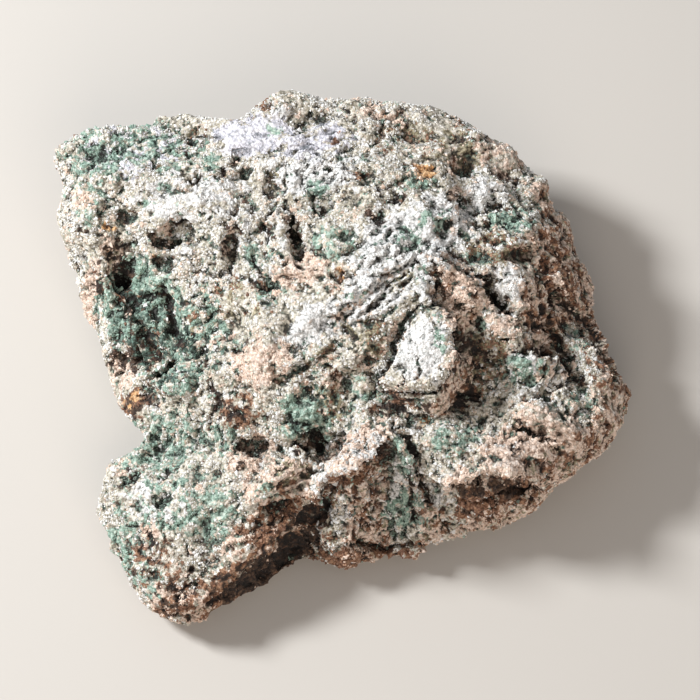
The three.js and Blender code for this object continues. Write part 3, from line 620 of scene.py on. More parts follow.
# Sockets of the Mix node: its share, then the lower, upper and resulting colour or number.
MIX_SHARE, MIX_BELOW, MIX_ABOVE, MIX_RESULT = 0, 6, 7, 2
NUMBER_BELOW, NUMBER_ABOVE, NUMBER_RESULT = 2, 3, 0

CAMERA_TARGET = (1.4, 1.5, 15.0)
CAMERA_RISE = math.radians(68)
# Lights: where each hangs, seen from the rock, how far off and how wide in metres, and its colour.
KEY_LIGHT = ((-0.66, 0.20, 0.62), 0.75, 0.15, "FFFFFF")
FILL_LIGHT = ((0.15, -0.8, 0.7), 1.0, 0.8, "FFECDA")
SKY_COLOUR = "F0F3F8"
# The floor's side in metres, and its roughness.
FLOOR_SIZE, FLOOR_ROUGHNESS = 6.0, 0.9


def linear(code):
    """A colour's sRGB hex code as linear red, green and blue."""
    parts = [int(code[i:i + 2], 16) / 255 for i in (0, 2, 4)]
    return tuple(c / 12.92 if c <= 0.04045 else ((c + 0.055) / 1.055) ** 2.4 for c in parts)


def opaque(colour):
    """A linear colour with full alpha, as node sockets take it."""
    return (*colour, 1.0)


def smoothstep(low, high, value):
    """0 below low, 1 above high, and an even curve between them."""
    share = np.clip((value - low) / (high - low), 0.0, 1.0)
    return share * share * (3 - 2 * share)


# ---------------------------------------------------------------------------------------------
# Fields: numbers for every point of the rock, worked out from its place in millimetres.


def on_face(points):
    """Where points lie on the leaning plane of the face: across and up."""
    up = points[:, 1] * math.cos(FACE_TILT) + points[:, 2] * math.sin(FACE_TILT)
    return np.column_stack((points[:, 0], up))


def facing(normals):
    """1 where the surface belongs to the crusted face, 0 on the back and the underside."""
    return smoothstep(FACE_SHOWS_FROM, FACE_SHOWS_FULLY, normals @ FACE_NORMAL)


def within(fade, distance):
    """1 in the middle of a thing on the face, falling to 0 between the two distances of fade."""
    return 1 - smoothstep(*fade, distance)


def wave(points, length, octaves, start=0.0):
    """Soft noise between about -1 and 1, whose bumps are length apart.

    A start of its own gives each use another stretch of the noise, so that no two are alike.
    """
    places = (points / length + start).tolist()
    return np.fromiter((noise.fractal(p, 1.0, 2.0, octaves) for p in places), float, len(places))


def crumbs(points, length, start):
    """Rounded crumbs on rounded crumbs, the largest length apart, with sharp creases between them."""
    places = (points / length + start).tolist()
    lumps = (noise.turbulence(p, 3, True, amplitude_scale=0.62, frequency_scale=2.2) for p in places)
    return np.fromiter(lumps, float, len(places))


def crags(points, length, start):
    """Broken blocks length apart, each leaning its own way, with cracks between them."""
    bent = points / length + start + CRAG_BEND * np.column_stack(
        [wave(points, CRAG_BEND_WIDTH * length, 2, start + 13.0 * axis) for axis in range(3)]
    )
    found = [noise.voronoi(place) for place in bent.tolist()]
    gaps = np.array([distances[1] - distances[0] for distances, _ in found])
    middles = np.array([tuple(nearest[0]) for _, nearest in found])
    # Steep waves of the middles give each block a lean that has nothing to do with its neighbours'.
    lean = np.cos(40.0 * middles[:, (1, 2, 0)] + 70.0 * middles)
    shoulders = CRAG_SHOULDER * smoothstep(0.0, CRACK_GAP, gaps)
    return np.einsum("ij,ij->i", bent - middles, lean) + shoulders - 0.4


def oval_distance(face, across, up, half_length, half_width, turn):
    """Distance from an oval's middle, as a share of its radius."""
    angle = math.radians(turn)
    right, over = face[:, 0] - across, face[:, 1] - up
    along = (right * math.cos(angle) + over * math.sin(angle)) / half_length
    aside = (over * math.cos(angle) - right * math.sin(angle)) / half_width
    return np.hypot(along, aside)


def path_distance(face, path):
    """Distance from a path of straight steps, in millimetres."""
    nearest = np.full(len(face), np.inf)
    for start, end in zip(path, path[1:]):
        step = np.subtract(end, start)
        share = np.clip(((face - start) @ step) / (step @ step), 0.0, 1.0)
        nearest = np.minimum(nearest, np.linalg.norm(face - start - share[:, None] * step, axis=1))
    return nearest


def ledge_drop(face, rise_again, path):
    """How much of a ledge's drop each place has, from 0 to 1."""
    nearest = np.full(len(face), np.inf)
    side = np.zeros(len(face))
    walked = np.zeros(len(face))
    before = 0.0
    for start, end in zip(path, path[1:]):
        step = np.subtract(end, start)
        length = math.hypot(*step)
        from_start = face - start
        share = np.clip((from_start @ step) / length ** 2, 0.0, 1.0)
        gap = np.linalg.norm(from_start - share[:, None] * step, axis=1)
        closer = gap < nearest
        nearest = np.where(closer, gap, nearest)
        side = np.where(closer, step[1] * from_start[:, 0] - step[0] * from_start[:, 1], side)
        walked = np.where(closer, before + share * length, walked)
        before += length
    ends = smoothstep(0.0, LEDGE_TAPER, walked) * smoothstep(0.0, LEDGE_TAPER, before - walked)
    lip = smoothstep(0.0, LIP_WIDTH, nearest) * (1 - smoothstep(LIP_WIDTH, rise_again, nearest))
    return ends * (side > 0) * lip


def ragged(points, reach, length, start):
    """Where points lie on the face, shaken so that the edges of what is laid there turn ragged."""
    shake = np.column_stack((wave(points, length, 3, start), wave(points, length, 3, start + 31.7)))
    return on_face(points) + reach * shake


def named_relief(points, normals):
    """The hollows, lumps, cracks, ridges, ledges and the block, in millimetres outwards."""
    shown = facing(normals)
    face = ragged(points, *RELIEF_SHAKE, 3.1)
    height = np.zeros(len(points))
    for *oval, depth, _ in HOLLOWS + RECESSES:
        height -= HOLLOW_CUT * depth * within(OVAL_FADE, oval_distance(face, *oval))
    for *oval, rise, _ in LUMPS:
        height += rise * within(OVAL_FADE, oval_distance(face, *oval))
    for half_width, depth, _, path in CRACKS:
        height -= depth * within(CRACK_FADE, path_distance(face, path) / half_width)
    for half_width, rise, _, path in RIDGES:
        height += rise * np.clip(1 - path_distance(face, path) / (RIDGE_FOOT * half_width), 0.0, 1.0)
    for drop, rise_again, _, path in LEDGES:
        height -= drop * ledge_drop(face, rise_again, path)
    inside = block_distance(on_face(points) + BLOCK_SHAKE * (face - on_face(points)))
    height += BLOCK_RISE * smoothstep(-BLOCK_EDGE, BLOCK_EDGE, inside)
    height -= BLOCK_MOAT * smoothstep(-MOAT_WIDTH, 0.0, inside) * (inside < 0)
    return height * shown


def block_distance(face):
    """Millimetres inside the outline of the fallen block, and negative outside it."""
    outline = (*BLOCK, BLOCK[0])
    across, up = face.T
    inside = np.zeros(len(face), bool)
    for (x0, y0), (x1, y1) in zip(outline, outline[1:]):
        crosses = (y0 > up) != (y1 > up)
        inside ^= crosses & (across < x0 + (up - y0) * (x1 - x0) / (y1 - y0 + 1e-9))
    return path_distance(face, outline) * np.where(inside, 1.0, -1.0)


def calm_places(points, normals):
    """1 on the few smooth places of the face, such as the block's top."""
    face = ragged(points, *CALM_SHAKE, 8.8)
    calm = BLOCK_CALM * smoothstep(0.0, 1.0, block_distance(face))
    for *oval, smoothness in CALM:
        calm = np.maximum(calm, smoothness * within(CALM_FADE, oval_distance(face, *oval)))
    return calm * facing(normals)


def small_pits(points):
    """Depth of small pits strewn over the face, more of them towards its upper left."""
    random = np.random.default_rng(SEED + 1)
    face = ragged(points, *PIT_SHAKE, 61.0)
    depth = np.zeros(len(points))
    for across, up in random.normal(PITTED_MIDDLE, PITTED_SPREAD, (SMALL_PITS, 2)):
        long_side, short_side = random.uniform(*PIT_LENGTH), random.uniform(*PIT_WIDTH)
        oval = oval_distance(face, across, up, long_side, short_side, random.uniform(0, 180))
        depth = np.maximum(depth, random.uniform(*PIT_DEPTH) * within(OVAL_FADE, oval))
    return depth


def fibre_relief(points, normals):
    """Fibres along the crust, each patch of them in its own direction."""
    face = ragged(points, *FIBRE_SHAKE, 91.0)
    height = np.zeros(len(points))
    for number, (across, up, reach, turn) in enumerate(FIBRES):
        angle = math.radians(turn)
        along = (face[:, 0] * math.cos(angle) + face[:, 1] * math.sin(angle)) / FIBRE_LENGTH
        aside = (face[:, 1] * math.cos(angle) - face[:, 0] * math.sin(angle)) / FIBRE_WIDTH
        strands = np.column_stack((along, aside, np.full(len(face), 7.3 * number)))
        near = within(FIBRE_FADE, oval_distance(face, across, up, reach, reach, 0))
        height += near * wave(strands, 1.0, 3)
    return height * facing(normals)


def mineral_shares(points, normals, shaded_side, shaded_seam):
    """How much of each mineral shows at each point, from 0 to 1."""
    shown = facing(normals)
    face = ragged(points, *STAIN_SHAKE, 12.4)
    shares = {name: np.zeros(len(points)) for name in MINERALS}
    for mineral, *oval, strength in PATCHES:
        share = strength * within(STAIN_FADE, oval_distance(face, *oval))
        shares[mineral] = np.maximum(shares[mineral], share * shown)
    for *oval, _, mineral in HOLLOWS + RECESSES + LUMPS:
        share = OVAL_LINING * within(OVAL_LINING_FADE, oval_distance(face, *oval))
        shares[mineral] = np.maximum(shares[mineral], share * shown)
    for half_width, _, mineral, path in CRACKS + RIDGES:
        share = PATH_LINING * within(PATH_LINING_FADE, path_distance(face, path) / half_width)
        shares[mineral] = np.maximum(shares[mineral], share * shown)
    for _, rise_again, mineral, path in LEDGES:
        share = LEDGE_LINING * ledge_drop(face, rise_again, path)
        shares[mineral] = np.maximum(shares[mineral], share * shown)
    hidden = 1 - shown
    for mineral, least in SPRINKLED.items():
        shares[mineral] = np.maximum(shares[mineral], least * (1 - shares["lavender"]))
    # The side away from the key light keeps warm tints at least: painted shade.
    for mineral, least in SHADED_SIDE_TINTS.items():
        shares[mineral] = np.maximum(shares[mineral], least * shaded_side)
    for number, (mineral, (usual, varying)) in enumerate(HIDDEN_SIDES.items()):
        patchy = usual + varying * wave(points, HIDDEN_STAIN_SPACING, 3, 5.0 + 25.0 * number)
        shares[mineral] = np.maximum(shares[mineral], hidden * patchy)
    for number, (mineral, share) in enumerate(shares.items()):
        mixed = wave(points, MINERAL_MIX, 4, 40.0 + 9.0 * number)
        chance = smoothstep(-CHANCE_RANGE, CHANCE_RANGE, mixed)
        # Dark minerals lean into the seams and pale ones onto the crests: painted shade and painted
        # highlight.
        chance = chance - LEAN.get(mineral, 0.0) * (shaded_seam - SEAM_MIDDLE)
        patches = smoothstep(0.0, PATCH_SOFTNESS, PATCH_GAIN * share - chance)
        shares[mineral] = patches * (share > LEAST_SHARE)
    return shares


# ---------------------------------------------------------------------------------------------
# Meshes


def positions(mesh):
    """A mesh's points, in millimetres."""
    points = np.empty(3 * len(mesh.vertices))
    mesh.vertices.foreach_get("co", points)
    return points.reshape(-1, 3) / MM


def normals_of(mesh):
    """A mesh's outward directions, point by point."""
    normals = np.empty(3 * len(mesh.vertices))
    mesh.vertex_normals.foreach_get("vector", normals)
    return normals.reshape(-1, 3)


def move_points(mesh, points):
    """Puts a mesh's points at places given in millimetres."""
    mesh.vertices.foreach_set("co", (points * MM).ravel())
    mesh.update()


def edges_of(mesh):
    """The two ends of each edge of a mesh."""
    ends = np.empty(2 * len(mesh.edges), int)
    mesh.edges.foreach_get("vertices", ends)
    return ends.reshape(-1, 2)


def evened(values, ends, rounds):
    """Values spread over the mesh, each point taking its neighbours' mean round after round."""
    count = np.bincount(ends.ravel(), minlength=len(values)).clip(1)[:, None]
    spread = values if values.ndim == 2 else values[:, None]
    for _ in range(rounds):
        total = np.column_stack([
            np.bincount(ends[:, 0], column[ends[:, 1]], len(values))
            + np.bincount(ends[:, 1], column[ends[:, 0]], len(values))
            for column in spread.T
        ])
        spread = total / count
    return spread if values.ndim == 2 else spread[:, 0]


def refined(obj, name, kind, **settings):
    """A new mesh of obj with one modifier applied."""
    modifier = obj.modifiers.new("refine", kind)
    for key, value in settings.items():
        setattr(modifier, key, value)
    graph = bpy.context.evaluated_depsgraph_get()
    mesh = bpy.data.meshes.new_from_object(obj.evaluated_get(graph))
    mesh.name = name
    obj.modifiers.remove(modifier)
    return mesh


def shown_object(name, mesh):
    """Links a mesh into the scene as a piece."""
    obj = bpy.data.objects.new(name, mesh)
    bpy.context.scene.collection.objects.link(obj)
    return obj


def store(mesh, name, values):
    """Keeps one number for each point of a mesh, for its material to read."""
    mesh.attributes.new(name, "FLOAT", "POINT").data.foreach_set("value", values.astype(np.float32))


def welded_copy(node, name):
    """A copy of a frame node's mesh with its split points joined again."""
    work = bmesh.new()
    work.from_mesh(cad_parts[node].data)
    bmesh.ops.remove_doubles(work, verts=work.verts, dist=0.001 * MM)
    mesh = bpy.data.meshes.new(name)
    work.to_mesh(mesh)
    work.free()
    return mesh


# ---------------------------------------------------------------------------------------------
# Materials


def add_node(tree, kind, sockets=None, **settings):
    """Adds a node. sockets gives an input either a value or the output that feeds it."""
    made = tree.nodes.new(kind)
    for key, value in settings.items():
        setattr(made, key, value)
    for key, value in (sockets or {}).items():
        if isinstance(value, bpy.types.NodeSocket):
            tree.links.new(value, made.inputs[key])
        else:
            made.inputs[key].default_value = value
    return made


def times_in_a_metre(size):
    """The scale of a pattern whose spots are size millimetres wide."""
    return 1 / (size * MM)


def granules(tree, size):
    """Uneven cells about size millimetres wide: three chances for each, and how near its edge is."""
    place = add_node(tree, "ShaderNodeTexCoord").outputs["Object"]
    waves = {"Vector": place, "Scale": times_in_a_metre(GRANULE_BEND_WIDTH * size)}
    bend = add_node(tree, "ShaderNodeTexNoise", waves)
    reach = (GRANULE_BEND * size * MM,) * 3
    moved = {0: bend.outputs["Color"], 1: reach, 2: place}
    bent = add_node(tree, "ShaderNodeVectorMath", moved, operation="MULTIPLY_ADD")
    packed = {"Vector": bent.outputs["Vector"], "Scale": times_in_a_metre(size)}
    cells = add_node(tree, "ShaderNodeTexVoronoi", packed)
    chances = add_node(tree, "ShaderNodeSeparateColor", {"Color": cells.outputs["Color"]})
    return [chances.outputs[i] for i in range(3)], cells.outputs["Distance"]


def shown_by_chance(tree, share, chance):
    """A share that is fuller in the cells whose chance is high, and never shows where it is 0."""
    gathered = add_node(
        tree, "ShaderNodeMath", {0: share, 1: 1 + CHANCE_SOFTNESS, 2: chance}, operation="MULTIPLY_ADD"
    )
    shown = add_node(
        tree, "ShaderNodeMapRange",
        {"Value": gathered.outputs["Value"], "From Min": 1.0, "From Max": 1 + CHANCE_SOFTNESS},
    )
    return shown.outputs["Result"]


def layered_minerals(tree, shade, layers):
    """Minerals laid over each other, each by its share and in its own colours from dark to light.

    The first of them has a share of 1, so it hides the colour that the layers start from.
    """
    chosen = bpy.context.scene.ore_colours
    colour = opaque(linear(PALETTE["painted_shade_and_dirt"][0]))
    for mineral, share in layers.items():
        dark, _, light = PALETTE[mineral]
        tones = (linear(dark), getattr(chosen, mineral), linear(light))
        tint = add_node(tree, "ShaderNodeValToRGB", {"Fac": shade})
        marks = tint.color_ramp.elements
        marks.new(0.5)
        for mark, place, tone in zip(marks, PALETTE_PLACES, tones):
            mark.position = place
            mark.color = opaque(tone)
        over = {MIX_SHARE: share, MIX_BELOW: colour, MIX_ABOVE: tint.outputs["Color"]}
        colour = add_node(tree, "ShaderNodeMix", over, data_type="RGBA").outputs[MIX_RESULT]
    return colour


def new_material(name):
    """An empty node material with its output and its main shader."""
    material = bpy.data.materials.new(name)
    material.use_nodes = True
    tree = material.node_tree
    tree.nodes.clear()
    shader = add_node(tree, "ShaderNodeBsdfPrincipled")
    add_node(tree, "ShaderNodeOutputMaterial", {"Surface": shader.outputs["BSDF"]})
    return material, tree, shader


def matt_surface(tree, shader, colour, uneven, height, depth, roughness, ior):
    """Gives the shader its colour, a roughness between two values, and relief too fine for the mesh."""
    dull = {"Value": uneven, "To Min": roughness[0], "To Max": roughness[1]}
    rough = add_node(tree, "ShaderNodeMapRange", dull)
    bump = add_node(tree, "ShaderNodeBump", {"Height": height, "Distance": depth, "Strength": 1.0})
    shader.inputs["IOR"].default_value = ior
    tree.links.new(colour, shader.inputs["Base Color"])
    tree.links.new(rough.outputs["Result"], shader.inputs["Roughness"])
    tree.links.new(bump.outputs["Normal"], shader.inputs["Normal"])


def rock_material(settings):
    """Weathered copper ore: broken off by hammer, then crusted over by seeping water.

    It has no polish anywhere. Its colour changes from granule to granule, and its seams and granule
    edges are painted darker, as painted shade with some dirt.
    """
    material, tree, shader = new_material("weathered_copper_ore")
    stored = {
        name: add_node(tree, "ShaderNodeAttribute", attribute_name=name).outputs["Fac"]
        for name in (*MINERALS, "shaded_seam")
    }
    small, near_edge = granules(tree, SMALL_GRANULE)
    large, _ = granules(tree, LARGE_GRANULE)
    place = add_node(tree, "ShaderNodeTexCoord").outputs["Object"]
    finest = {"Vector": place, "Scale": times_in_a_metre(FINEST_SPOTS), "Detail": 2.5, "Roughness": 0.7}
    tiny = add_node(tree, "ShaderNodeTexNoise", finest).outputs["Fac"]
    crisp = add_node(tree, "ShaderNodeMapRange", {"Value": tiny, "From Min": 0.32, "From Max": 0.68})
    spotted = crisp.outputs["Result"]
    mixed = {MIX_SHARE: ROCK_SPOT_SHARE, NUMBER_BELOW: small[0], NUMBER_ABOVE: spotted}
    even_shade = add_node(tree, "ShaderNodeMix", mixed, data_type="FLOAT").outputs[NUMBER_RESULT]
    # The seams are painted darker, as painted shade with some dirt: their shade is lowered and the dark
    # layer laid over them.
    darker = {0: stored["shaded_seam"], 1: SEAM_SHADE, 2: even_shade}
    shade = add_node(tree, "ShaderNodeMath", darker, operation="MULTIPLY_ADD").outputs["Value"]
    # The granules' edges are darkened too: painted shade in the creases between them.
    edges = {"Value": near_edge, "From Min": 0.4, "From Max": 0.8, "To Max": 0.45}
    edge_shade = add_node(tree, "ShaderNodeMapRange", edges)
    seams = {0: stored["shaded_seam"], 1: SEAM_SHADE_AND_DIRT, 2: edge_shade.outputs["Result"]}
    painted_shade_and_dirt = add_node(tree, "ShaderNodeMath", seams, operation="MULTIPLY_ADD").outputs["Value"]
    chances = {
        "pale": small[1], "lavender": small[2], "buff": small[2], "olive": large[0],
        "malachite": small[1], "tenorite": large[0], "rust": large[1], "umber": large[2],
        "orange": small[0],
    }
    layers = {name: shown_by_chance(tree, stored[name], chance) for name, chance in chances.items()}
    colour = layered_minerals(tree, shade, {"rock": 1.0, **layers, "painted_shade_and_dirt": painted_shade_and_dirt})
    grainy = {0: near_edge, 1: EDGE_HEIGHT, 2: tiny}
    height = add_node(tree, "ShaderNodeMath", grainy, operation="MULTIPLY_ADD").outputs["Value"]
    depth = settings.finest_relief
    matt_surface(tree, shader, colour, tiny, height, depth, ROCK_ROUGHNESS, ROCK_IOR)
    return material


def grain_material(name, minerals, roughness, ior):
    """Crystal grains, each in a shade of its own, between one mineral's colours and another's."""
    material, tree, shader = new_material(name)
    shade, second, shaded_seam = (
        add_node(tree, "ShaderNodeAttribute", attribute_name=name).outputs["Fac"]
        for name in ("shade", "second", "shaded_seam")
    )
    place = add_node(tree, "ShaderNodeTexCoord").outputs["Object"]
    speckle = {"Vector": place, "Scale": times_in_a_metre(GRAIN_SPOTS), "Detail": 1.0}
    speck = add_node(tree, "ShaderNodeTexNoise", speckle).outputs["Fac"]
    mixed = {MIX_SHARE: GRAIN_SPOT_SHARE, NUMBER_BELOW: shade, NUMBER_ABOVE: speck}
    uneven_shade = add_node(tree, "ShaderNodeMix", mixed, data_type="FLOAT").outputs[NUMBER_RESULT]
    # Grains in seams are darkened by the seams' painted shade and dirt.
    layers = {minerals[0]: 1.0, minerals[1]: second, "painted_shade_and_dirt": shaded_seam}
    colour = layered_minerals(tree, uneven_shade, layers)
    matt_surface(tree, shader, colour, speck, speck, GRAIN_RELIEF, roughness, ior)
    return material


# ---------------------------------------------------------------------------------------------
# Settings


class OreColourSettings(bpy.types.PropertyGroup):
    """The middle colour of each mineral."""

    __annotations__ = {
        mineral: bpy.props.FloatVectorProperty(
            name=mineral.capitalize(), description=f"Colour of most of the {mineral} granules",
            default=linear(codes[1]), subtype="COLOR", size=3,
        )
        for mineral, codes in PALETTE.items()
    }


class OreRockSettings(bpy.types.PropertyGroup):
    """Sizes of the rock's relief."""

    mesh_spacing: bpy.props.FloatProperty(
        name="Mesh spacing", description="Edge of the cells that the rock is rebuilt from",
        default=0.38 * MM, unit="LENGTH",
    )
    lump_height: bpy.props.FloatProperty(
        name="Lump height", description="Height of the broad lumps, about 8 mm apart",
        default=0.7 * MM, unit="LENGTH",
    )
    crag_height: bpy.props.FloatProperty(
        name="Crag height", description="Height of the broken crags, about 5.5 mm apart",
        default=0.6 * MM, unit="LENGTH",
    )
    crumb_height: bpy.props.FloatProperty(
        name="Crumb height", description="Height of the crust's crumbs, the largest about 2.9 mm apart",
        default=1.6 * MM, unit="LENGTH",
    )
    fibre_height: bpy.props.FloatProperty(
        name="Fibre height", description="Height of the drawn-out fibres",
        default=0.8 * MM, unit="LENGTH",
    )
    finest_relief: bpy.props.FloatProperty(
        name="Finest relief", description="Depth of the relief too fine for the mesh",
        default=0.4 * MM, unit="LENGTH",
    )
    most_triangles: bpy.props.IntProperty(
        name="Most triangles", description="Triangles that the rock is thinned to", default=192000,
    )


class OreGrainSettings(bpy.types.PropertyGroup):
    """Sizes and numbers of the crust's grains."""

    spacing: bpy.props.FloatProperty(
        name="Grain spacing", description="Side of the cells that hold one grain each",
        default=0.4 * MM, unit="LENGTH",
    )
    radius: bpy.props.FloatProperty(
        name="Grain radius", description="Middle radius of a grain", default=0.23 * MM, unit="LENGTH",
    )
    most_grains: bpy.props.IntProperty(
        name="Most grains", description="Grains that one crust may have", default=24500,
    )


class OreStageSettings(bpy.types.PropertyGroup):
    """The floor, the lights and the camera."""

    floor_colour: bpy.props.FloatVectorProperty(
        name="Floor colour", description="Colour of the plain floor",
        default=linear("BFBCB7"), subtype="COLOR", size=3,
    )
    key_power: bpy.props.FloatProperty(
        name="Key light", description="Power of the soft main light, in watts", default=8.0,
    )
    fill_share: bpy.props.FloatProperty(
        name="Fill light", description="Power of the fill light, as a share of the key light's",
        default=0.6,
    )
    sky_strength: bpy.props.FloatProperty(
        name="Sky strength", description="Strength of the even light from all round", default=0.32,
    )
    camera_distance: bpy.props.FloatProperty(
        name="Camera distance", description="From the camera to the rock's middle",
        default=0.9, unit="LENGTH",
    )
    lens: bpy.props.FloatProperty(
        name="Lens", description="Focal length, in millimetres", default=232.0,
    )


# ---------------------------------------------------------------------------------------------
# Pieces


class OreRock(bpy.types.Operator):
    """Build the rock with its pits, cracks, ridges and stains"""

    bl_idname = "ore.rock"
    bl_label = "Rock"

    def execute(self, context):
        settings = context.scene.ore_rock
        rough = shown_object("rough_rock", welded_copy(ROCK_NODE, "rough_rock"))
        even = refined(rough, "even_rock", "REMESH", mode="VOXEL", voxel_size=settings.mesh_spacing)
        bpy.data.objects.remove(rough)
        ends = edges_of(even)
        points = evened(positions(even), ends, EVENING_ROUNDS)
        move_points(even, points)
        normals = normals_of(even)
        points += normals * rock_relief(points, normals, settings)[:, None]
        points[:, 2] = points[:, 2].clip(0.0)
        move_points(even, points)
        dense = shown_object("dense_rock", even)
        faces = len(even.polygons) * 2
        mesh = refined(
            dense, "ore_rock", "DECIMATE", ratio=settings.most_triangles / faces,
            use_collapse_triangulate=True,
        )
        bpy.data.objects.remove(dense)
        dress_rock(mesh)
        mesh.materials.append(rock_material(settings))
        rock = shown_object("ore_rock", mesh)
        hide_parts(ROCK_NODE)
        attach(rock, "root")
        return {"FINISHED"}


def rock_relief(points, normals, settings):
    """How far the weathered surface stands out from the plain form, in millimetres."""
    shown = facing(normals)
    calm = calm_places(points, normals)
    unworn = LEAST_ROUGH + MORE_ROUGH * smoothstep(-0.45, 0.45, wave(points, WEAR_SPACING, 2, 55.0))
    rough = unworn * (HIDDEN_ROUGH + (1 - HIDDEN_ROUGH) * shown) * (1 - CALMED_RELIEF * calm)
    lumps = wave(points, LUMP_SPACING, 2, 2.2)
    height = settings.lump_height / MM * (1 - CALMED_LUMPS * calm) * lumps
    height += named_relief(points, normals)
    height += settings.crag_height / MM * rough * crags(points, CRAG_SPACING, 4.4)
    frilly = smoothstep(-0.25, 0.25, wave(points, LUMP_SPACING, 2, 66.0))
    rounded_to_frilly = rough * (1 - FRILLINESS * frilly)
    crust = crumbs(points, CRUMB_SPACING, 9.9) - 0.5
    height += settings.crumb_height / MM * rounded_to_frilly * crust
    height += settings.fibre_height / MM * fibre_relief(points, normals)
    height -= shown * (1 - calm) * small_pits(points)
    return height


def dress_rock(mesh):
    """Stores the minerals, the seams' painted shade and dirt, and where grains may grow, point by point.
    """
    points = positions(mesh)
    normals = normals_of(mesh)
    ends = edges_of(mesh)
    # How far each point is sunk below its evened surroundings: the seams' painted shade, with some dirt.
    shaded_seam = np.zeros(len(points))
    for rounds, start, deep in SEAM_SCALES:
        sunk = np.einsum("ij,ij->i", evened(points, ends, rounds) - points, normals)
        shaded_seam = np.maximum(shaded_seam, DARKEST_SEAM * smoothstep(start, deep, sunk))
    store(mesh, "shaded_seam", shaded_seam)
    # The side facing away from the key light, from broadly evened directions, is tinted as painted
    # shade.
    leaning = evened(normals, ends, BROAD_ROUNDS) @ AWAY_FROM_KEY_LIGHT
    shaded_side = facing(normals) * smoothstep(SHADED_SIDE_FROM, SHADED_SIDE_FULLY, leaning)
    shares = mineral_shares(points, normals, shaded_side, shaded_seam)
    for mineral, share in shares.items():
        store(mesh, mineral, share)
    spots = smoothstep(-0.5, 0.5, wave(points, SANDY_SPACING, 3, 71.0))
    sandy = LEAST_SANDY + MORE_SANDY * spots
    bare = np.maximum(BARE_CALM * calm_places(points, normals), BARE_UMBER * shares["umber"])
    store(mesh, "crusted", facing(normals) * sandy * (1 - bare) * (1 - BARE_SHADED_SIDE * shaded_side))


def octahedron():
    """Points of a plain crystal grain of radius 1, and its triangles."""
    points = np.vstack((np.eye(3), -np.eye(3)))
    triangles = [(0, 1, 2), (1, 3, 2), (3, 4, 2), (4, 0, 2), (1, 0, 5), (3, 1, 5), (4, 3, 5), (0, 4, 5)]
    return points, np.array(triangles)


def turns(random, count):
    """Random rotations, as matrices."""
    q = random.normal(size=(count, 4))
    w, x, y, z = (q / np.linalg.norm(q, axis=1)[:, None]).T
    rows = (
        (1 - 2 * (y * y + z * z), 2 * (x * y - z * w), 2 * (x * z + y * w)),
        (2 * (x * y + z * w), 1 - 2 * (x * x + z * z), 2 * (y * z - x * w)),
        (2 * (x * z - y * w), 2 * (y * z + x * w), 1 - 2 * (x * x + y * y)),
    )
    return np.moveaxis(np.array(rows), 2, 0)


def scattered(rock, random, spacing):
    """Places for grains on the rock: points, and the normal and the number of a corner beside each."""
    mesh = rock.data
    points = positions(mesh)
    normals = normals_of(mesh)
    corners = np.empty(3 * len(mesh.polygons), int)
    mesh.polygons.foreach_get("vertices", corners)
    corners = corners.reshape(-1, 3)
    a, b, c = points[corners[:, 0]], points[corners[:, 1]], points[corners[:, 2]]
    area = np.linalg.norm(np.cross(b - a, c - a), axis=1) / 2
    crusted = value_at(mesh, "crusted", corners[:, 0])
    chances = area / area.sum()
    tries = int(PLACES_TRIED * area.sum() / spacing ** 2)
    picks = random.choice(len(corners), size=tries, p=chances)
    picks = picks[random.random(len(picks)) < crusted[picks]]
    s, t = random.random((2, len(picks)))
    s, t = np.where(s + t > 1, 1 - s, s), np.where(s + t > 1, 1 - t, t)
    places = a[picks] + s[:, None] * (b - a)[picks] + t[:, None] * (c - a)[picks]
    cells = np.floor(places / spacing).astype(int)
    _, first = np.unique(cells, axis=0, return_index=True)
    first = random.permutation(first)
    beside = corners[picks[first], 0]
    return places[first], normals[beside], beside


def value_at(mesh, name, where):
    """A stored number at some of a mesh's points."""
    values = np.empty(len(mesh.vertices), np.float32)
    mesh.attributes[name].data.foreach_get("value", values)
    return values[where]


def grain_mesh(name, places, outward, radii, random):
    """Lumpy grains, nearly all of them partly sunk into the rock."""
    crystal, triangles = octahedron()
    count, corners = len(places), len(crystal)
    lumpy = crystal[None] * random.uniform(*CORNER_REACH, (count, corners, 1))
    lumpy = lumpy * random.uniform(*GRAIN_STRETCH, (count, 1, 3))
    lumpy = np.einsum("nij,nkj->nki", turns(random, count), lumpy) * radii[:, None, None]
    centres = places + outward * (random.uniform(*GRAIN_STANDS, count) * radii)[:, None]
    points = (lumpy + centres[:, None]).reshape(-1, 3)
    points[:, 2] = points[:, 2].clip(LOWEST_GRAIN)
    faces = (triangles[None] + corners * np.arange(count)[:, None, None]).reshape(-1, 3)
    mesh = bpy.data.meshes.new(name)
    mesh.from_pydata((points * MM).tolist(), [], faces.tolist())
    return mesh, corners


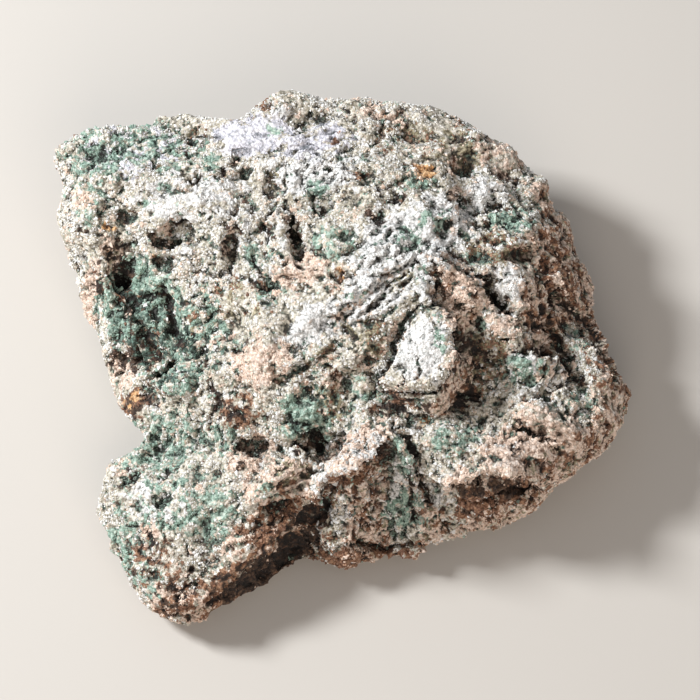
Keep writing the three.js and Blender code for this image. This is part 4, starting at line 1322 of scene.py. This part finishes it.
class OreGrains(bpy.types.Operator):
    """Grow the four crusts of grains on the rock"""

    bl_idname = "ore.grains"
    bl_label = "Mineral grains"

    def execute(self, context):
        settings = context.scene.ore_grains
        random = np.random.default_rng(SEED)
        rock = bpy.data.objects["ore_rock"]
        places, outward, beside = scattered(rock, random, settings.spacing / MM)
        shares = {name: value_at(rock.data, name, beside) for name in (*MINERALS, "shaded_seam")}
        pull = np.column_stack([
            crust["pull"] + sum(gain * shares[mineral] for mineral, gain in crust["drawn_by"].items())
            for crust in GRAINS.values()
        ])
        kinds = (pull + random.uniform(0.0, CHANCE_OF_ANOTHER, pull.shape)).argmax(1)
        for number, (name, crust) in enumerate(GRAINS.items()):
            chosen = np.flatnonzero(kinds == number)[:settings.most_grains]
            spread = random.lognormal(RADIUS_LEAN, RADIUS_SPREAD, len(chosen))
            radii = settings.radius / MM * spread.clip(SMALLEST_RADIUS, LARGEST_RADIUS)
            mesh, corners = grain_mesh(name, places[chosen], outward[chosen], radii, random)
            shades = random.uniform(*GRAIN_SHADES, len(chosen))
            store(mesh, "shade", np.repeat(shades, corners))
            store(mesh, "second", np.repeat(shares[crust["colours"][1]][chosen], corners))
            # Each grain keeps the painted shade and dirt of the seam it sits in.
            store(mesh, "shaded_seam", np.repeat(GRAIN_SHADE_AND_DIRT * shares["shaded_seam"][chosen], corners))
            mesh.materials.append(
                grain_material(crust["material"], crust["colours"], crust["roughness"], crust["ior"])
            )
            grains = shown_object(name, mesh)
            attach(grains, "root")
        return {"FINISHED"}


def hang_light(name, target, power, direction, distance, size, colour):
    """Hangs a square soft light that looks at the target."""
    data = bpy.data.lights.new(name, "AREA")
    data.size = size
    data.energy = power
    data.color = linear(colour)
    lamp = bpy.data.objects.new(name, data)
    bpy.context.scene.collection.objects.link(lamp)
    towards = Vector(direction).normalized()
    lamp.location = target + towards * distance
    lamp.rotation_euler = towards.to_track_quat("Z", "Y").to_euler()


class OreStage(bpy.types.Operator):
    """Set the floor, the lights and the camera"""

    bl_idname = "ore.stage"
    bl_label = "Stage"

    def execute(self, context):
        settings = context.scene.ore_stage
        target = Vector(CAMERA_TARGET) * MM
        bpy.ops.mesh.primitive_plane_add(size=FLOOR_SIZE)
        floor = context.active_object
        floor.name = "floor"
        # Board under matt paint: an even, pale ground with no gleam of its own.
        material, _, shader = new_material("matt_painted_board")
        shader.inputs["Base Color"].default_value = opaque(settings.floor_colour)
        shader.inputs["Roughness"].default_value = FLOOR_ROUGHNESS
        floor.data.materials.append(material)
        hang_light("key_light", target, settings.key_power, *KEY_LIGHT)
        hang_light("fill_light", target, settings.key_power * settings.fill_share, *FILL_LIGHT)
        world = bpy.data.worlds.new("soft_daylight")
        world.use_nodes = True
        sky = world.node_tree.nodes["Background"]
        sky.inputs["Color"].default_value = opaque(linear(SKY_COLOUR))
        sky.inputs["Strength"].default_value = settings.sky_strength
        context.scene.world = world
        camera = bpy.data.objects.new("camera", bpy.data.cameras.new("camera"))
        camera.data.lens = settings.lens
        context.scene.collection.objects.link(camera)
        away = Vector((0.0, -math.cos(CAMERA_RISE), math.sin(CAMERA_RISE)))
        camera.location = target + away * settings.camera_distance
        camera.rotation_euler = (math.pi / 2 - CAMERA_RISE, 0.0, 0.0)
        context.scene.camera = camera
        context.scene.view_settings.view_transform = "Standard"
        return {"FINISHED"}


class OrePanel(bpy.types.Panel):
    """Lists the specimen's pieces and their settings"""

    bl_idname = "VIEW3D_PT_ore"
    bl_label = "Copper ore specimen"
    bl_space_type = "VIEW_3D"
    bl_region_type = "UI"
    bl_category = "Ore"

    def draw(self, context):
        for operator, *names in STEPS:
            self.layout.operator(operator.bl_idname)
            for name in names:
                for key in GROUPS[name].__annotations__:
                    self.layout.prop(getattr(context.scene, name), key)


STEPS = ((OreStage, "ore_stage"), (OreRock, "ore_rock", "ore_colours"), (OreGrains, "ore_grains"))
GROUPS = {
    "ore_colours": OreColourSettings, "ore_stage": OreStageSettings,
    "ore_rock": OreRockSettings, "ore_grains": OreGrainSettings,
}
CLASSES = (*GROUPS.values(), OreStage, OreRock, OreGrains, OrePanel)


def register():
    """Adds the classes and their settings to Blender."""
    for cls in CLASSES:
        bpy.utils.register_class(cls)
    for name, group in GROUPS.items():
        setattr(bpy.types.Scene, name, bpy.props.PointerProperty(type=group))


def unregister():
    """Takes the classes and their settings out of Blender again."""
    for name in GROUPS:
        delattr(bpy.types.Scene, name)
    for cls in reversed(CLASSES):
        bpy.utils.unregister_class(cls)


def main():
    """Builds the specimen."""
    register()
    bpy.ops.ore.stage()
    bpy.ops.ore.rock()
    bpy.ops.ore.grains()


if __name__ == "__main__":
    main()
